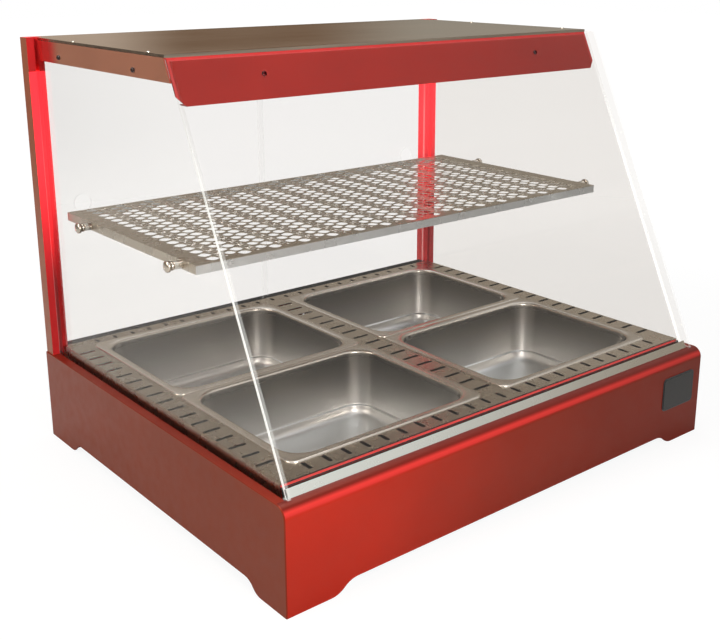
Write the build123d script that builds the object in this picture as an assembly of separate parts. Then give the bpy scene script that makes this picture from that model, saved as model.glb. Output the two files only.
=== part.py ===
from build123d import *
import math
import os

# Heated display case for a counter: a painted sheet-metal base with four half-size gastronorm pans
# in a slotted deck, a glass cabin with a leaning front pane, one pierced shelf held by four pins
# through the side panes, a flat roof, and two sliding glass doors on the operator's side.
# Millimetres. While it is modelled, X is across (0 in the middle), Y runs back from the front face
# of the base, and Z is up from the floor. At the end everything moves half a depth forward, so that
# the origin lies on the floor in the middle of the case.

# Overall: the pans set the width and depth, with these margins round them
HEIGHT = 620.0
SIDE_MARGIN = 55.0
REAR_MARGIN = 26.9
SHEET = 1.5

# Base
BASE_TOP = 139.5
FRONT_ROUND = 15.0
BEND_ROUND = 0.8
FOOT_RISE = 15.0
FRONT_FOOT_FLAT = 65.0
FRONT_FOOT_OGEE = 40.0
SIDE_FOOT_FLAT_FRONT = 53.0
SIDE_FOOT_OGEE_FRONT = 34.0
SIDE_FOOT_FLAT_REAR = 73.0
SIDE_FOOT_OGEE_REAR = 31.0
FOOT_RETURN = 12.0
REAR_RECESS = 18.0
FLOOR_CLEAR = 16.5
TRAY_LIP = 12.0

# Glass
GLASS = 5.0
LEAN = 25.28
GLASS_FOOT_Y = 22.0
PANE_LEAD = 11.5
PANE_TOP_DROP = 2.5
PANE_CORNER = 7.0
PANE_INSET = 18.0
FRONT_PANE_GAP = 2.0
FRONT_PANE_TOP_DROP = 6.0
PANE_SINK = 19.5
PANE_HEEL_LEAD = 1.0
PANE_TAIL_CLEAR = 1.0
PANE_HOLE_CLEAR = 0.2

# Channel for the foot of the front pane, measured in the pane's slope
CHANNEL_WALL = 1.2
CHANNEL_LINING = 3.2
CHANNEL_SEAT = -14.0
CHANNEL_BACK_LINING = 1.2
CHANNEL_TOP = 9.5
CHANNEL_BACK_TOP = 6.0
CHANNEL_END_CLEAR = 0.5
LINING_FLOOR = 1.0
LINING_RECESS = 2.0
LEDGE = 13.0
FLANGE_CLEAR = 0.2
LIP_CLEAR = 0.4

# Walls and angles inside the base
WALL_RISE = 6.5
WALL_SETBACK = 40.0
BEARER_LEDGE = 5.0
BEARER_LEG = 20.0
BEARER_SETBACK = 4.0
INNER_CLEAR = 0.3

# Deck and pans
DECK_RISE = 11.3
DECK_SHEET = 1.2
DECK_GAP = 1.0
DECK_FRONT = 35.2
DECK_FOLD = 2.0
SLOT_WIDTH = 5.0
SLOT_PITCH = 30.0
SIDE_SLOT_LENGTH = 25.4
CENTRE_SLOT_LENGTH = 29.5
FRONT_SLOT_LENGTH = 20.0
FRONT_SLOT_SETBACK = 3.4
REAR_SLOT_LENGTH = 12.0
SLOT_MARGIN = 16.0
SIDE_SLOT_COUNT = 17
ROW_SLOT_COUNT = 23
PAN_LENGTH = 325.0
PAN_BREADTH = 265.0
PAN_RIM = 13.0
PAN_RISE = 2.5
PAN_SHEET = 0.9
PAN_CORNER = 36.0
PAN_DEPTH = 100.0
PAN_STEP_DEPTH = 85.0
PAN_TAPER = 6.0
PAN_STEP = 4.0
PAN_FLOOR_ROUND = 7.0
CORNER_CHORDS = 4
PAN_GAP = 40.0
PAN_FRONT = 64.5
PAN_JOIN = 0.6
PAN_HOLE_INSET = 10.0
PAN_SEAT = 0.2
PAN_STEP_FALL = 1.0

# Posts, rails and roof
POST_WIDTH = 24.5
POST_DEPTH = 22.0
POST_INSET = 2.0
POST_GROOVE = 12.0
GROOVE_CLEAR = 0.3
RAIL_HEIGHT = 28.7
RAIL_FLANGE = 20.0
ROOF_EDGE = 4.0
ROOF_SHEET = 1.2
ROOF_GAP = 0.5
ROOF_CLEAR = 0.2
FASCIA_DROP = 55.4
FASCIA_CORNER_RISE = 11.4
FASCIA_CORNER_RUN = 11.0
FASCIA_RETURN = 15.0
HEADER_DROP = 26.0

# Doors
DOOR = 4.0
DOOR_PITCH = 6.2
DOOR_OVERLAP = 14.0
DOOR_RUN_CLEAR = 0.3
TRACK_SETBACK = 0.5
TRACK_WALL = 2.0
TRACK_FLOOR = 2.0
UPPER_TRACK_HEIGHT = 16.5
UPPER_GROOVE_DEPTH = 12.0
DOOR_ENGAGE = 8.0
FINGER_HOLE = 28.0
FINGER_HOLE_RISE = 217.2
FINGER_HOLE_EDGE = 46.0

# Shelf and its pins
SHELF_RISE = 219.2
SHELF_SHEET = 1.2
SHELF_GAP = 6.5
SHELF_FRONT = 211.6
SHELF_REAR_GAP = 65.4
SHELF_FLANGE = 12.0
MESH_BORDER = 13.0
MESH_PITCH_X = 46.9
MESH_PITCH_Y = 20.0
MESH_HOLE_X = 34.0
MESH_HOLE_Y = 14.0
PIN_FRONT_GAP = 35.4
PIN_REAR_GAP = 79.6
PIN_DROP = 5.5
PIN_BARREL = 10.5
PIN_SHANK = 6.0
PIN_NECK = 8.0
PIN_HEAD = 15.0
PIN_HEAD_LENGTH = 5.5
PIN_NECK_LENGTH = 2.0
PIN_TAIL = 6.0
WASHER = 12.0
WASHER_LENGTH = 5.0

# Screws
SCREW_HEAD = 6.5
SCREW_HEAD_LENGTH = 3.0
SCREW_SHANK = 4.0
SCREW_GRIP = 8.0
SCREW_HOLE = 8.5
HOLE_CLEAR = 0.4
HOLE_SIDES = 12
ROUND_SIDES = 16
RAIL_SCREW_GAPS = (291.0, 72.0)
RAIL_SCREW_DROP = 19.5
FASCIA_SCREW_INSET = 130.0
FASCIA_SCREW_DROP = 23.6

# Heating and controls
ROD = 8.5
ROD_LIFT = 18.0
ROD_LENGTH = 430.0
ROD_SPREAD = 140.0
ROD_REAR_GAP = 22.0
ROD_TERMINAL = 12.0
ROD_TAB = 4.0
ROD_TAB_SHEET = 1.0
ROD_CLEAR = 0.1
ROD_HOLD = 30.0
BRACKET_MARGIN = 16.0
BRACKET_FOOT = 18.0
CONTROL_Z = 78.0
KNOB_INSET = 150.0
KNOB = 40.0
KNOB_LENGTH = 15.0
KNOB_SKIRT = 4.0
KNOB_GAP = 0.5
KNOB_FLUTES = 10
FLUTE = 2.0
POINTER_RISE = 0.8
SPINDLE = 6.0
SPINDLE_HOLE = 7.0
THERMOSTAT = 34.0
THERMOSTAT_LENGTH = 24.0
SWITCH_INSET = 78.0
SWITCH_WIDTH = 21.0
SWITCH_HEIGHT = 30.0
SWITCH_BEZEL = 2.0
SWITCH_BODY = 18.0
SWITCH_LAP = 1.2
ROCKER_WIDTH = 13.0
ROCKER_HEIGHT = 22.0
ROCKER_TILT = 8.0
ROCKER_CLEAR = 0.4
ROCKER_PIVOT = 2.8
ROCKER_PIVOT_REACH = 1.0
ROCKER_PIVOT_IN = 2.0
ROCKER_TRIM = 0.6
ROCKER_KEEL = 3.0
LAMP_INSET = 218.0
LAMP = 10.0
LAMP_BODY = 12.0
LAMP_STEPS = ((1.2, 13.0), (3.0, 10.0), (4.0, 6.0))
GLAND_INSET = 100.0
GLAND_Z = 50.0
GLAND_HOLE = 16.0
GLAND_NUT = 23.0
GLAND_BORE = 8.0
GLAND_INSIDE = 8.0
GLAND_OUTSIDE = 15.0
GLAND_CAP = 6.0
TERMINAL_PITCH = 10.0
TERMINAL_DEPTH = 16.0
TERMINAL_HEIGHT = 12.0
TERMINAL_STEP = 2.0
TERMINAL_GAP = 24.0
BULB = 6.0
BULB_LENGTH = 60.0
BULB_LIFT = 8.0
BULB_SETBACK = 10.0
VENT_COUNT = 4
VENT_LENGTH = 50.0
VENT_PITCH = 14.0
VENT_X = 100.0

# Values worked out from the ones above
WIDTH = 2 * (PAN_LENGTH + SIDE_MARGIN) + PAN_GAP
DEPTH = PAN_FRONT + 2 * PAN_BREADTH + PAN_JOIN + REAR_MARGIN + POST_DEPTH
HALF = WIDTH / 2
CABIN_HALF = HALF - PANE_INSET
FRONT_PANE_HALF = CABIN_HALF - FRONT_PANE_GAP
PANE_SEAT_Z = BASE_TOP - PANE_SINK
WALL_TOP = BASE_TOP + WALL_RISE
DECK_TOP = BASE_TOP + DECK_RISE
DECK_HALF = CABIN_HALF - DECK_GAP
BEARER_REACH = DECK_HALF - BEARER_LEDGE
ROOF_HALF = CABIN_HALF - ROOF_GAP
FINGER_HOLE_Z = DECK_TOP + FINGER_HOLE_RISE
CHANNEL_FRONT = CHANNEL_LINING + CHANNEL_WALL
CHANNEL_HALF = CABIN_HALF - CHANNEL_END_CLEAR
GLASS_SEAT = CHANNEL_SEAT + CHANNEL_WALL + LINING_FLOOR
TRAY_TOP = FLOOR_CLEAR + SHEET
ROD_Z = TRAY_TOP + ROD_LIFT
INNER_HALF = HALF - SHEET
PANE_OUT = CABIN_HALF + GLASS
FLANGE_IN = PANE_OUT
TAN = math.tan(math.radians(LEAN))
COS = math.cos(math.radians(LEAN))
SIN = math.sin(math.radians(LEAN))
REAR_FACE = DEPTH - REAR_RECESS
POST_FRONT = DEPTH - POST_DEPTH
POST_OUT = HALF - POST_INSET
POST_IN = POST_OUT - POST_WIDTH
ROOF_UNDER = HEIGHT - ROOF_EDGE
RAIL_BOTTOM = ROOF_UNDER - RAIL_HEIGHT
DECK_REAR = POST_FRONT
PAN_REAR = PAN_FRONT + 2 * PAN_BREADTH + PAN_JOIN
SHELF_TOP = DECK_TOP + SHELF_RISE
SHELF_HALF = CABIN_HALF - SHELF_GAP
SHELF_REAR = DEPTH - SHELF_REAR_GAP
SHELF_DEPTH = SHELF_REAR - SHELF_FRONT
PIN_Y = (SHELF_FRONT + PIN_FRONT_GAP, SHELF_REAR - PIN_REAR_GAP)
PIN_Z = SHELF_TOP - PIN_DROP
TRACK_FRONT = DECK_REAR + TRACK_SETBACK
GROOVE = DOOR + 2 * DOOR_RUN_CLEAR
TRACK_DEPTH = 2 * TRACK_WALL + GROOVE + DOOR_PITCH
INNER_DOOR_Y = TRACK_FRONT + TRACK_WALL + GROOVE / 2
OUTER_DOOR_Y = INNER_DOOR_Y + DOOR_PITCH
DOOR_BOTTOM = BASE_TOP + TRACK_FLOOR + DOOR_RUN_CLEAR
UPPER_TRACK_BOTTOM = ROOF_UNDER - SHEET - UPPER_TRACK_HEIGHT
DOOR_TOP = UPPER_TRACK_BOTTOM + DOOR_ENGAGE
RAIL_SCREW_Y = tuple(POST_FRONT - gap for gap in RAIL_SCREW_GAPS)
RAIL_SCREW_Z = ROOF_UNDER - RAIL_SCREW_DROP
FASCIA_SCREW_X = FRONT_PANE_HALF - FASCIA_SCREW_INSET
FASCIA_SCREW_Z = ROOF_UNDER - FASCIA_SCREW_DROP
KNOB_X = HALF - KNOB_INSET
SWITCH_X = HALF - SWITCH_INSET
LAMP_X = HALF - LAMP_INSET
GLAND_X = GLAND_INSET - HALF
SIDES = (("left", -1), ("right", 1))


def box(x0, x1, y0, y1, z0, z1):
    """A block given by its limits."""
    return Pos(x0, y0, z0) * Box(x1 - x0, y1 - y0, z1 - z0, align=(Align.MIN, Align.MIN, Align.MIN))


def across(points, x0, x1):
    """A Y, Z outline drawn out along X."""
    outline = Plane.YZ * Polygon(*points, align=None)
    return Pos(x0, 0, 0) * extrude(outline, x1 - x0, dir=(1, 0, 0))


def pierced(outline, holes, thickness):
    """A flat sheet with many holes, on z = 0 and up by its thickness."""
    face = Face(outline.face().outer_wire(), [hole.face().outer_wire() for hole in holes])
    return extrude(face, thickness, dir=(0, 0, 1))


def folded(points, thickness=SHEET):
    """The outline of a folded sheet: the outer line, and a line one thickness to its right."""
    inner = []
    for i, (y, z) in enumerate(points):
        normals = []
        for j in (i - 1, i):
            if 0 <= j < len(points) - 1:
                dy = points[j + 1][0] - points[j][0]
                dz = points[j + 1][1] - points[j][1]
                length = math.hypot(dy, dz)
                normals.append((dz / length, -dy / length))
        ny = sum(n[0] for n in normals) / len(normals)
        nz = sum(n[1] for n in normals) / len(normals)
        scale = thickness / (ny * ny + nz * nz)
        inner.append((y + ny * scale, z + nz * scale))
    return list(points) + inner[::-1]


def slope(s, t):
    """A point s up the front pane's outer face from the base's top, and t in behind that face."""
    return GLASS_FOOT_Y + s * SIN + t * COS, BASE_TOP + s * COS - t * SIN


def slope_y(z, t=0.0):
    """Where a plane t behind the front pane's outer face is at height z."""
    return GLASS_FOOT_Y + (z - BASE_TOP) * TAN + t / COS


def slope_length(z, t=0.0):
    """How far up the slope the plane t behind the outer face reaches height z."""
    return (z - BASE_TOP + t * SIN) / COS


def leaning(s0, s1, t0, t1, half):
    """A plate in the front pane's slope."""
    corners = [slope(s0, t0), slope(s1, t0), slope(s1, t1), slope(s0, t1)]
    return across(corners, -half, half)


def bar_x(x0, x1, y, z, diameter, sides):
    """A many-sided bar along X, for the small round pieces and their holes."""
    bar = extrude(Plane.YZ * RegularPolygon(diameter / 2, sides), abs(x1 - x0), dir=(1, 0, 0))
    return Pos(min(x0, x1), y, z) * bar


def bar_y(x, y0, y1, z, diameter, sides):
    """A many-sided bar along Y."""
    bar = extrude(Plane.XZ * RegularPolygon(diameter / 2, sides), y1 - y0, dir=(0, 1, 0))
    return Pos(x, y0, z) * bar


def mirrored(shape, side):
    """The shape as drawn for the right, or its mirror image for the left."""
    return shape if side > 0 else mirror(shape, Plane.YZ)


def ogee(flat_end, rise_end):
    """Two tangent arcs from the flat of a foot up to the cut-out beside it."""
    middle = ((flat_end[0] + rise_end[0]) / 2, (flat_end[1] + rise_end[1]) / 2)
    way = 1 if rise_end[0] > flat_end[0] else -1
    return [
        TangentArc(flat_end, middle, tangent=(way, 0)),
        TangentArc(rise_end, middle, tangent=(-way, 0)),
    ]


def footed_outline(start, end, top, flat_a, ogee_a, flat_b, ogee_b, corner=0.0):
    """A panel's outline with a foot at each end, and its first top corner rounded if asked."""
    a0 = (start + flat_a, 0)
    a1 = (start + flat_a + ogee_a, FOOT_RISE)
    b1 = (end - flat_b - ogee_b, FOOT_RISE)
    b0 = (end - flat_b, 0)
    edges = [Line((start, 0), a0), *ogee(a0, a1), Line(a1, b1), *ogee(b0, b1), Line(b0, (end, 0))]
    edges.append(Line((end, 0), (end, top)))
    if corner:
        edges.append(Line((end, top), (start + corner, top)))
        edges.append(TangentArc((start + corner, top), (start, top - corner), tangent=(-1, 0)))
        edges.append(Line((start, top - corner), (start, 0)))
    else:
        edges.append(Line((end, top), (start, top)))
        edges.append(Line((start, top), (start, 0)))
    return make_face(Wire(edges))


def slot(length, width=SLOT_WIDTH):
    """A long slot along X."""
    return Rectangle(length, width)


def side_panel(side):
    """Painted side of the base, with a turned-in top, a rear return and turned-in feet."""
    outline = footed_outline(
        0, DEPTH, BASE_TOP, SIDE_FOOT_FLAT_FRONT, SIDE_FOOT_OGEE_FRONT,
        SIDE_FOOT_FLAT_REAR, SIDE_FOOT_OGEE_REAR, FRONT_ROUND,
    )
    panel = Pos(INNER_HALF, 0, 0) * extrude(Plane.YZ * outline, SHEET, dir=(1, 0, 0))
    flange_front = slope_y(BASE_TOP) - CHANNEL_FRONT / COS + FLANGE_CLEAR
    panel += box(FLANGE_IN, INNER_HALF, flange_front, DEPTH, BASE_TOP - SHEET, BASE_TOP)
    panel += box(DECK_HALF + 2 * LIP_CLEAR, INNER_HALF, DEPTH - SHEET, DEPTH, 0, BASE_TOP)
    rear_foot = DEPTH - SIDE_FOOT_FLAT_REAR
    panel += box(INNER_HALF - FOOT_RETURN, INNER_HALF, SHEET, SIDE_FOOT_FLAT_FRONT, 0, SHEET)
    panel += box(INNER_HALF - FOOT_RETURN, INNER_HALF, rear_foot, REAR_FACE - SHEET, 0, SHEET)
    edge = panel.edges().filter_by(Axis.Y).filter_by_position(Axis.X, HALF - 0.01, HALF + 0.01)
    panel = chamfer(edge.sort_by(Axis.Z)[-1], BEND_ROUND)
    return mirrored(panel, side)


def front_panel():
    """Painted front of the base: its top rolls back, then folds down to carry the channel."""
    turn = slope(slope_length(BASE_TOP, -CHANNEL_FRONT), -CHANNEL_FRONT)
    seat = slope(CHANNEL_SEAT, -CHANNEL_FRONT)
    ledge = slope(CHANNEL_SEAT, -CHANNEL_FRONT + LEDGE)
    section = Polygon(*folded([(0, 0), (0, BASE_TOP), turn, seat, ledge]), align=None)
    corner = section.vertices().group_by(Axis.X)[0].sort_by(Axis.Y)[-1]
    section = fillet(corner, FRONT_ROUND)
    inner = [v for v in section.vertices()
             if abs(v.X - SHEET) < 0.01 and abs(v.Y - BASE_TOP + SHEET) < 0.01]
    section = fillet(inner, FRONT_ROUND - 2 * SHEET)
    panel = Pos(-INNER_HALF, 0, 0) * extrude(Plane.YZ * section, 2 * INNER_HALF, dir=(1, 0, 0))
    outline = footed_outline(
        -INNER_HALF, INNER_HALF, BASE_TOP + SHEET, FRONT_FOOT_FLAT - SHEET, FRONT_FOOT_OGEE,
        FRONT_FOOT_FLAT - SHEET, FRONT_FOOT_OGEE,
    )
    panel &= Pos(0, -SHEET, 0) * extrude(Plane.XZ * outline, DEPTH / 4, dir=(0, 1, 0))
    for x0, x1 in ((-INNER_HALF, -CHANNEL_HALF), (CHANNEL_HALF, INNER_HALF)):
        panel -= box(x0, x1, FRONT_ROUND, 2 * LEDGE + FRONT_ROUND, FLOOR_CLEAR, BASE_TOP - SHEET)
    return panel


def front_inner_wall():
    """Painted inner wall: its top flange shows in front of the deck, its foot is on the tray."""
    lip = slope_y(WALL_TOP, GLASS) + LIP_CLEAR
    line = [(lip, WALL_TOP), (WALL_SETBACK, WALL_TOP), (WALL_SETBACK, TRAY_TOP),
            (WALL_SETBACK - TRAY_LIP, TRAY_TOP)]
    half = DECK_HALF - DECK_SHEET - INNER_CLEAR
    wall = across(folded(line), -half, half)
    reach = BEARER_REACH - INNER_CLEAR
    for x0, x1 in ((-DECK_HALF, -reach), (reach, DECK_HALF)):
        wall -= box(x0, x1, 0, WALL_SETBACK + TRAY_LIP, TRAY_TOP, PANE_SEAT_Z + SHEET)
    return wall


def bottom_plate():
    """A shallow tray that closes the base from below."""
    front = SHEET
    rear = REAR_FACE - SHEET
    top = FLOOR_CLEAR + TRAY_LIP
    tray = box(-INNER_HALF, INNER_HALF, front, rear, FLOOR_CLEAR, top)
    return tray - box(-INNER_HALF + SHEET, INNER_HALF - SHEET, front + SHEET, rear - SHEET,
                      FLOOR_CLEAR + SHEET, top + 1)


def rear_panel():
    """Recessed rear wall of the base, with the openings for the controls, gland and air."""
    outline = footed_outline(
        -INNER_HALF, INNER_HALF, BASE_TOP - SHEET, FRONT_FOOT_FLAT - SHEET, FRONT_FOOT_OGEE,
        FRONT_FOOT_FLAT - SHEET, FRONT_FOOT_OGEE,
    )
    outline -= Pos(KNOB_X, CONTROL_Z) * RegularPolygon(SPINDLE_HOLE / 2, HOLE_SIDES)
    outline -= Pos(LAMP_X, CONTROL_Z) * RegularPolygon(LAMP / 2 + PANE_HOLE_CLEAR, HOLE_SIDES)
    outline -= Pos(GLAND_X, GLAND_Z) * RegularPolygon(GLAND_HOLE / 2 + INNER_CLEAR, ROUND_SIDES)
    switch_width = SWITCH_WIDTH - 2 * SWITCH_LAP + LIP_CLEAR
    switch_height = SWITCH_HEIGHT - 2 * SWITCH_LAP + LIP_CLEAR
    outline -= Pos(SWITCH_X, CONTROL_Z) * Rectangle(switch_width, switch_height)
    for middle in (-VENT_X, 0, VENT_X):
        for i in range(VENT_COUNT):
            x = middle + (i - (VENT_COUNT - 1) / 2) * VENT_PITCH
            outline -= Pos(x, CONTROL_Z) * Rot(0, 0, 90) * slot(VENT_LENGTH)
    for side in (-1, 1):
        x = side * (CABIN_HALF + GLASS / 2)
        outline -= Pos(x, PANE_SEAT_Z + BASE_TOP / 2) * Rectangle(GLASS + 2 * GROOVE_CLEAR, BASE_TOP + 1)
    return Pos(0, REAR_FACE - SHEET, 0) * extrude(Plane.XZ * outline, SHEET, dir=(0, 1, 0))


def rear_sill():
    """Painted rail across the back of the base, under the door track."""
    front = DECK_REAR - TRAY_LIP
    lip = BASE_TOP - FRONT_ROUND
    line = [(front, lip), (front, BASE_TOP), (DEPTH, BASE_TOP), (DEPTH, lip)]
    return across(folded(line), -DECK_HALF - INNER_CLEAR, DECK_HALF + INNER_CLEAR)


def deck_bearer(side):
    """Angle inside the base that carries the deck's skirt and the foot of the side pane."""
    front = slope_y(BASE_TOP) + BEARER_SETBACK
    rear = REAR_FACE - 2 * SHEET
    bearer = box(INNER_HALF - SHEET, INNER_HALF, front, rear, PANE_SEAT_Z - BEARER_LEG, PANE_SEAT_Z)
    bearer += box(BEARER_REACH, INNER_HALF, front, rear, PANE_SEAT_Z - SHEET, PANE_SEAT_Z)
    return mirrored(bearer, side)


def pan_centres():
    """The four pans: name, middle X and middle Y."""
    x = PAN_GAP / 2 + PAN_LENGTH / 2
    front = PAN_FRONT + PAN_BREADTH / 2
    rear = front + PAN_BREADTH + PAN_JOIN
    return (("front_left", -x, front), ("front_right", x, front),
            ("rear_left", -x, rear), ("rear_right", x, rear))


def deck():
    """Stainless deck with slots all round, four pan openings, and its folded edges."""
    middle = (DECK_FRONT + DECK_REAR) / 2
    plate = Pos(0, middle) * Rectangle(2 * DECK_HALF, DECK_REAR - DECK_FRONT)
    opening = Rectangle(PAN_LENGTH - 2 * PAN_HOLE_INSET, PAN_BREADTH - 2 * PAN_HOLE_INSET)
    holes = [Pos(x, y) * opening for _, x, y in pan_centres()]
    side_x = DECK_HALF - SLOT_MARGIN
    first = (PAN_FRONT + PAN_REAR) / 2 - (SIDE_SLOT_COUNT - 1) / 2 * SLOT_PITCH
    for i in range(SIDE_SLOT_COUNT):
        y = first + i * SLOT_PITCH
        holes.append(Pos(-side_x, y) * slot(SIDE_SLOT_LENGTH))
        holes.append(Pos(side_x, y) * slot(SIDE_SLOT_LENGTH))
        holes.append(Pos(0, y) * slot(CENTRE_SLOT_LENGTH))
    front_y = (DECK_FRONT + PAN_FRONT) / 2 + FRONT_SLOT_SETBACK
    rear_y = (DECK_REAR + PAN_REAR) / 2
    for i in range(ROW_SLOT_COUNT):
        x = (i - (ROW_SLOT_COUNT - 1) / 2) * SLOT_PITCH
        holes.append(Pos(x, front_y) * Rot(0, 0, 90) * slot(FRONT_SLOT_LENGTH))
        holes.append(Pos(x, rear_y) * Rot(0, 0, 90) * slot(REAR_SLOT_LENGTH))
    top = Pos(0, 0, DECK_TOP - DECK_SHEET) * pierced(plate, holes, DECK_SHEET)
    under = DECK_TOP - DECK_SHEET
    skirt_rear = DECK_REAR - TRAY_LIP - 2 * SHEET
    for side in (-1, 1):
        a, b = sorted((side * DECK_HALF, side * (DECK_HALF - DECK_SHEET)))
        top += box(a, b, DECK_FRONT + DECK_SHEET, skirt_rear, PANE_SEAT_Z, under)
    top += box(-DECK_HALF, DECK_HALF, DECK_FRONT, DECK_FRONT + DECK_SHEET, DECK_TOP - DECK_FOLD, under)
    top += box(-DECK_HALF, DECK_HALF, DECK_REAR - DECK_SHEET, DECK_REAR, BASE_TOP, under)
    return top


def pan_ring(inset, corner, z):
    """The pan's wall in plan at a height: a rectangle whose corners are arcs of short chords."""
    a = PAN_LENGTH / 2 - PAN_RIM - inset - corner
    b = PAN_BREADTH / 2 - PAN_RIM - inset - corner
    ring = []
    for quarter, (sx, sy) in enumerate(((1, 1), (-1, 1), (-1, -1), (1, -1))):
        for i in range(CORNER_CHORDS + 1):
            turn = math.pi / 2 * (quarter + i / CORNER_CHORDS)
            ring.append((sx * a + corner * math.cos(turn), sy * b + corner * math.sin(turn), z))
    return ring


def tapered(rings):
    """A solid through rings of points, each lower than the one before, with flat sides."""
    faces = [Face(Wire.make_polygon(rings[0])), Face(Wire.make_polygon(rings[-1]))]
    for upper, lower in zip(rings, rings[1:]):
        for i in range(len(upper)):
            corners = [upper[i - 1], upper[i], lower[i], lower[i - 1]]
            faces.append(Face(Wire.make_polygon(corners)))
    return Solid(Shell(faces))


def pan_body(grow):
    """The pan's inner form, or with its sheet's thickness as grow, the outer one."""
    low = PAN_TAPER + PAN_STEP
    step = PAN_RISE - PAN_STEP_DEPTH - grow
    floor = PAN_RISE - PAN_DEPTH - grow
    levels = (
        (0, PAN_RISE),
        (PAN_TAPER, step),
        (low, step - PAN_STEP_FALL),
        (low + PAN_STEP_FALL, floor + PAN_FLOOR_ROUND),
        (low + PAN_FLOOR_ROUND, floor),
    )
    return tapered([pan_ring(inset - grow, PAN_CORNER - inset + grow, z) for inset, z in levels])


def pan(x, y):
    """A GN 1/2 pan, 100 deep, with a turned-down rim and a stacking step near its floor."""
    rim = RectangleRounded(PAN_LENGTH, PAN_BREADTH, PAN_RIM)
    inner_rim = Rectangle(PAN_LENGTH - 2 * PAN_RIM, PAN_BREADTH - 2 * PAN_SHEET) + Rectangle(
        PAN_LENGTH - 2 * PAN_SHEET, PAN_BREADTH - 2 * PAN_RIM)
    shape = extrude(rim, PAN_RISE - PAN_SEAT)
    shape -= extrude(inner_rim, PAN_RISE - PAN_SEAT - PAN_SHEET)
    shape = Pos(0, 0, PAN_SEAT) * shape
    shape = (shape + pan_body(PAN_SHEET)) - pan_body(0.0)
    return Pos(x, y, DECK_TOP) * shape


def glass_channel():
    """Stainless channel for the foot of the front pane; its front leg shows above the base."""
    back = GLASS + CHANNEL_BACK_LINING
    shape = leaning(CHANNEL_SEAT, CHANNEL_SEAT + CHANNEL_WALL, -CHANNEL_FRONT, back + CHANNEL_WALL,
                    CHANNEL_HALF)
    shape += leaning(CHANNEL_SEAT, CHANNEL_TOP, -CHANNEL_FRONT, -CHANNEL_LINING, CHANNEL_HALF)
    shape += leaning(CHANNEL_SEAT, CHANNEL_BACK_TOP, back, back + CHANNEL_WALL, CHANNEL_HALF)
    return shape


def front_gasket():
    """Black lining between the channel and the front pane."""
    floor = CHANNEL_SEAT + CHANNEL_WALL
    back = GLASS + CHANNEL_BACK_LINING
    shape = leaning(floor, GLASS_SEAT, -CHANNEL_LINING, back, CHANNEL_HALF)
    shape += leaning(floor, CHANNEL_TOP - LINING_RECESS, -CHANNEL_LINING, 0, CHANNEL_HALF)
    shape += leaning(floor, CHANNEL_BACK_TOP - LINING_RECESS / 2, GLASS, back, CHANNEL_HALF)
    return shape


def front_glass():
    """Leaning front pane, with clearance holes for the fascia's screws."""
    top = slope_length(HEIGHT - FRONT_PANE_TOP_DROP)
    pane = leaning(GLASS_SEAT, top, 0, GLASS, FRONT_PANE_HALF)
    return pane - fascia_bores(-1, GLASS + 1, SCREW_HOLE)


def fascia_bores(t0, t1, diameter):
    """Two bars square to the front pane, at the fascia's screws."""
    bars = []
    for x in (-FASCIA_SCREW_X, FASCIA_SCREW_X):
        y, z = slope(slope_length(FASCIA_SCREW_Z), (t0 + t1) / 2)
        bar = Pos(0, 0, (t0 - t1) / 2) * extrude(RegularPolygon(diameter / 2, HOLE_SIDES), t1 - t0)
        bars.append(Pos(x, y, z) * Rot(90 - LEAN, 0, 0) * bar)
    return bars


def side_glass(side):
    """Side pane: its front edge leans with the front pane and stands ahead of it."""
    nose_z = BASE_TOP + SHEET
    top = HEIGHT - PANE_TOP_DROP
    rear = POST_FRONT + POST_GROOVE - PANE_TAIL_CLEAR
    heel = slope_y(BASE_TOP) - PANE_HEEL_LEAD
    points = [(heel, PANE_SEAT_Z), (heel, nose_z), (slope_y(nose_z) - PANE_LEAD, nose_z),
              (slope_y(top) - PANE_LEAD, top), (rear, top), (rear, PANE_SEAT_Z)]
    outline = Polygon(*points, align=None)
    tip = outline.vertices().group_by(Axis.Y)[-1].sort_by(Axis.X)[0]
    outline = fillet(tip, PANE_CORNER)
    for y in PIN_Y:
        outline -= Pos(y, PIN_Z) * RegularPolygon(PIN_BARREL / 2 + PANE_HOLE_CLEAR, ROUND_SIDES)
    for y in RAIL_SCREW_Y:
        outline -= Pos(y, RAIL_SCREW_Z) * RegularPolygon(SCREW_HOLE / 2, HOLE_SIDES)
    pane = Pos(CABIN_HALF, 0, 0) * extrude(Plane.YZ * outline, GLASS, dir=(1, 0, 0))
    return mirrored(pane, side)


def rear_post(side):
    """Hollow painted post with a groove in its front face for the side pane."""
    groove_in = CABIN_HALF - GROOVE_CLEAR
    groove_out = PANE_OUT + GROOVE_CLEAR
    groove_end = POST_FRONT + POST_GROOVE
    outline = [(POST_IN, POST_FRONT), (groove_in, POST_FRONT), (groove_in, groove_end),
               (groove_out, groove_end), (groove_out, POST_FRONT), (POST_OUT, POST_FRONT),
               (POST_OUT, DEPTH), (POST_IN, DEPTH)]
    outer = Polygon(*outline, align=None)
    hollow = [(POST_IN + SHEET, POST_FRONT + SHEET), (groove_in - SHEET, POST_FRONT + SHEET),
              (groove_in - SHEET, groove_end + SHEET), (groove_out + SHEET, groove_end + SHEET),
              (groove_out + SHEET, POST_FRONT + SHEET), (POST_OUT - SHEET, POST_FRONT + SHEET),
              (POST_OUT - SHEET, DEPTH - SHEET), (POST_IN + SHEET, DEPTH - SHEET)]
    post = extrude(outer, HEIGHT - BASE_TOP) - extrude(
        Polygon(*hollow, align=None), HEIGHT - BASE_TOP - SHEET)
    return mirrored(Pos(0, 0, BASE_TOP) * post, side)


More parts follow.
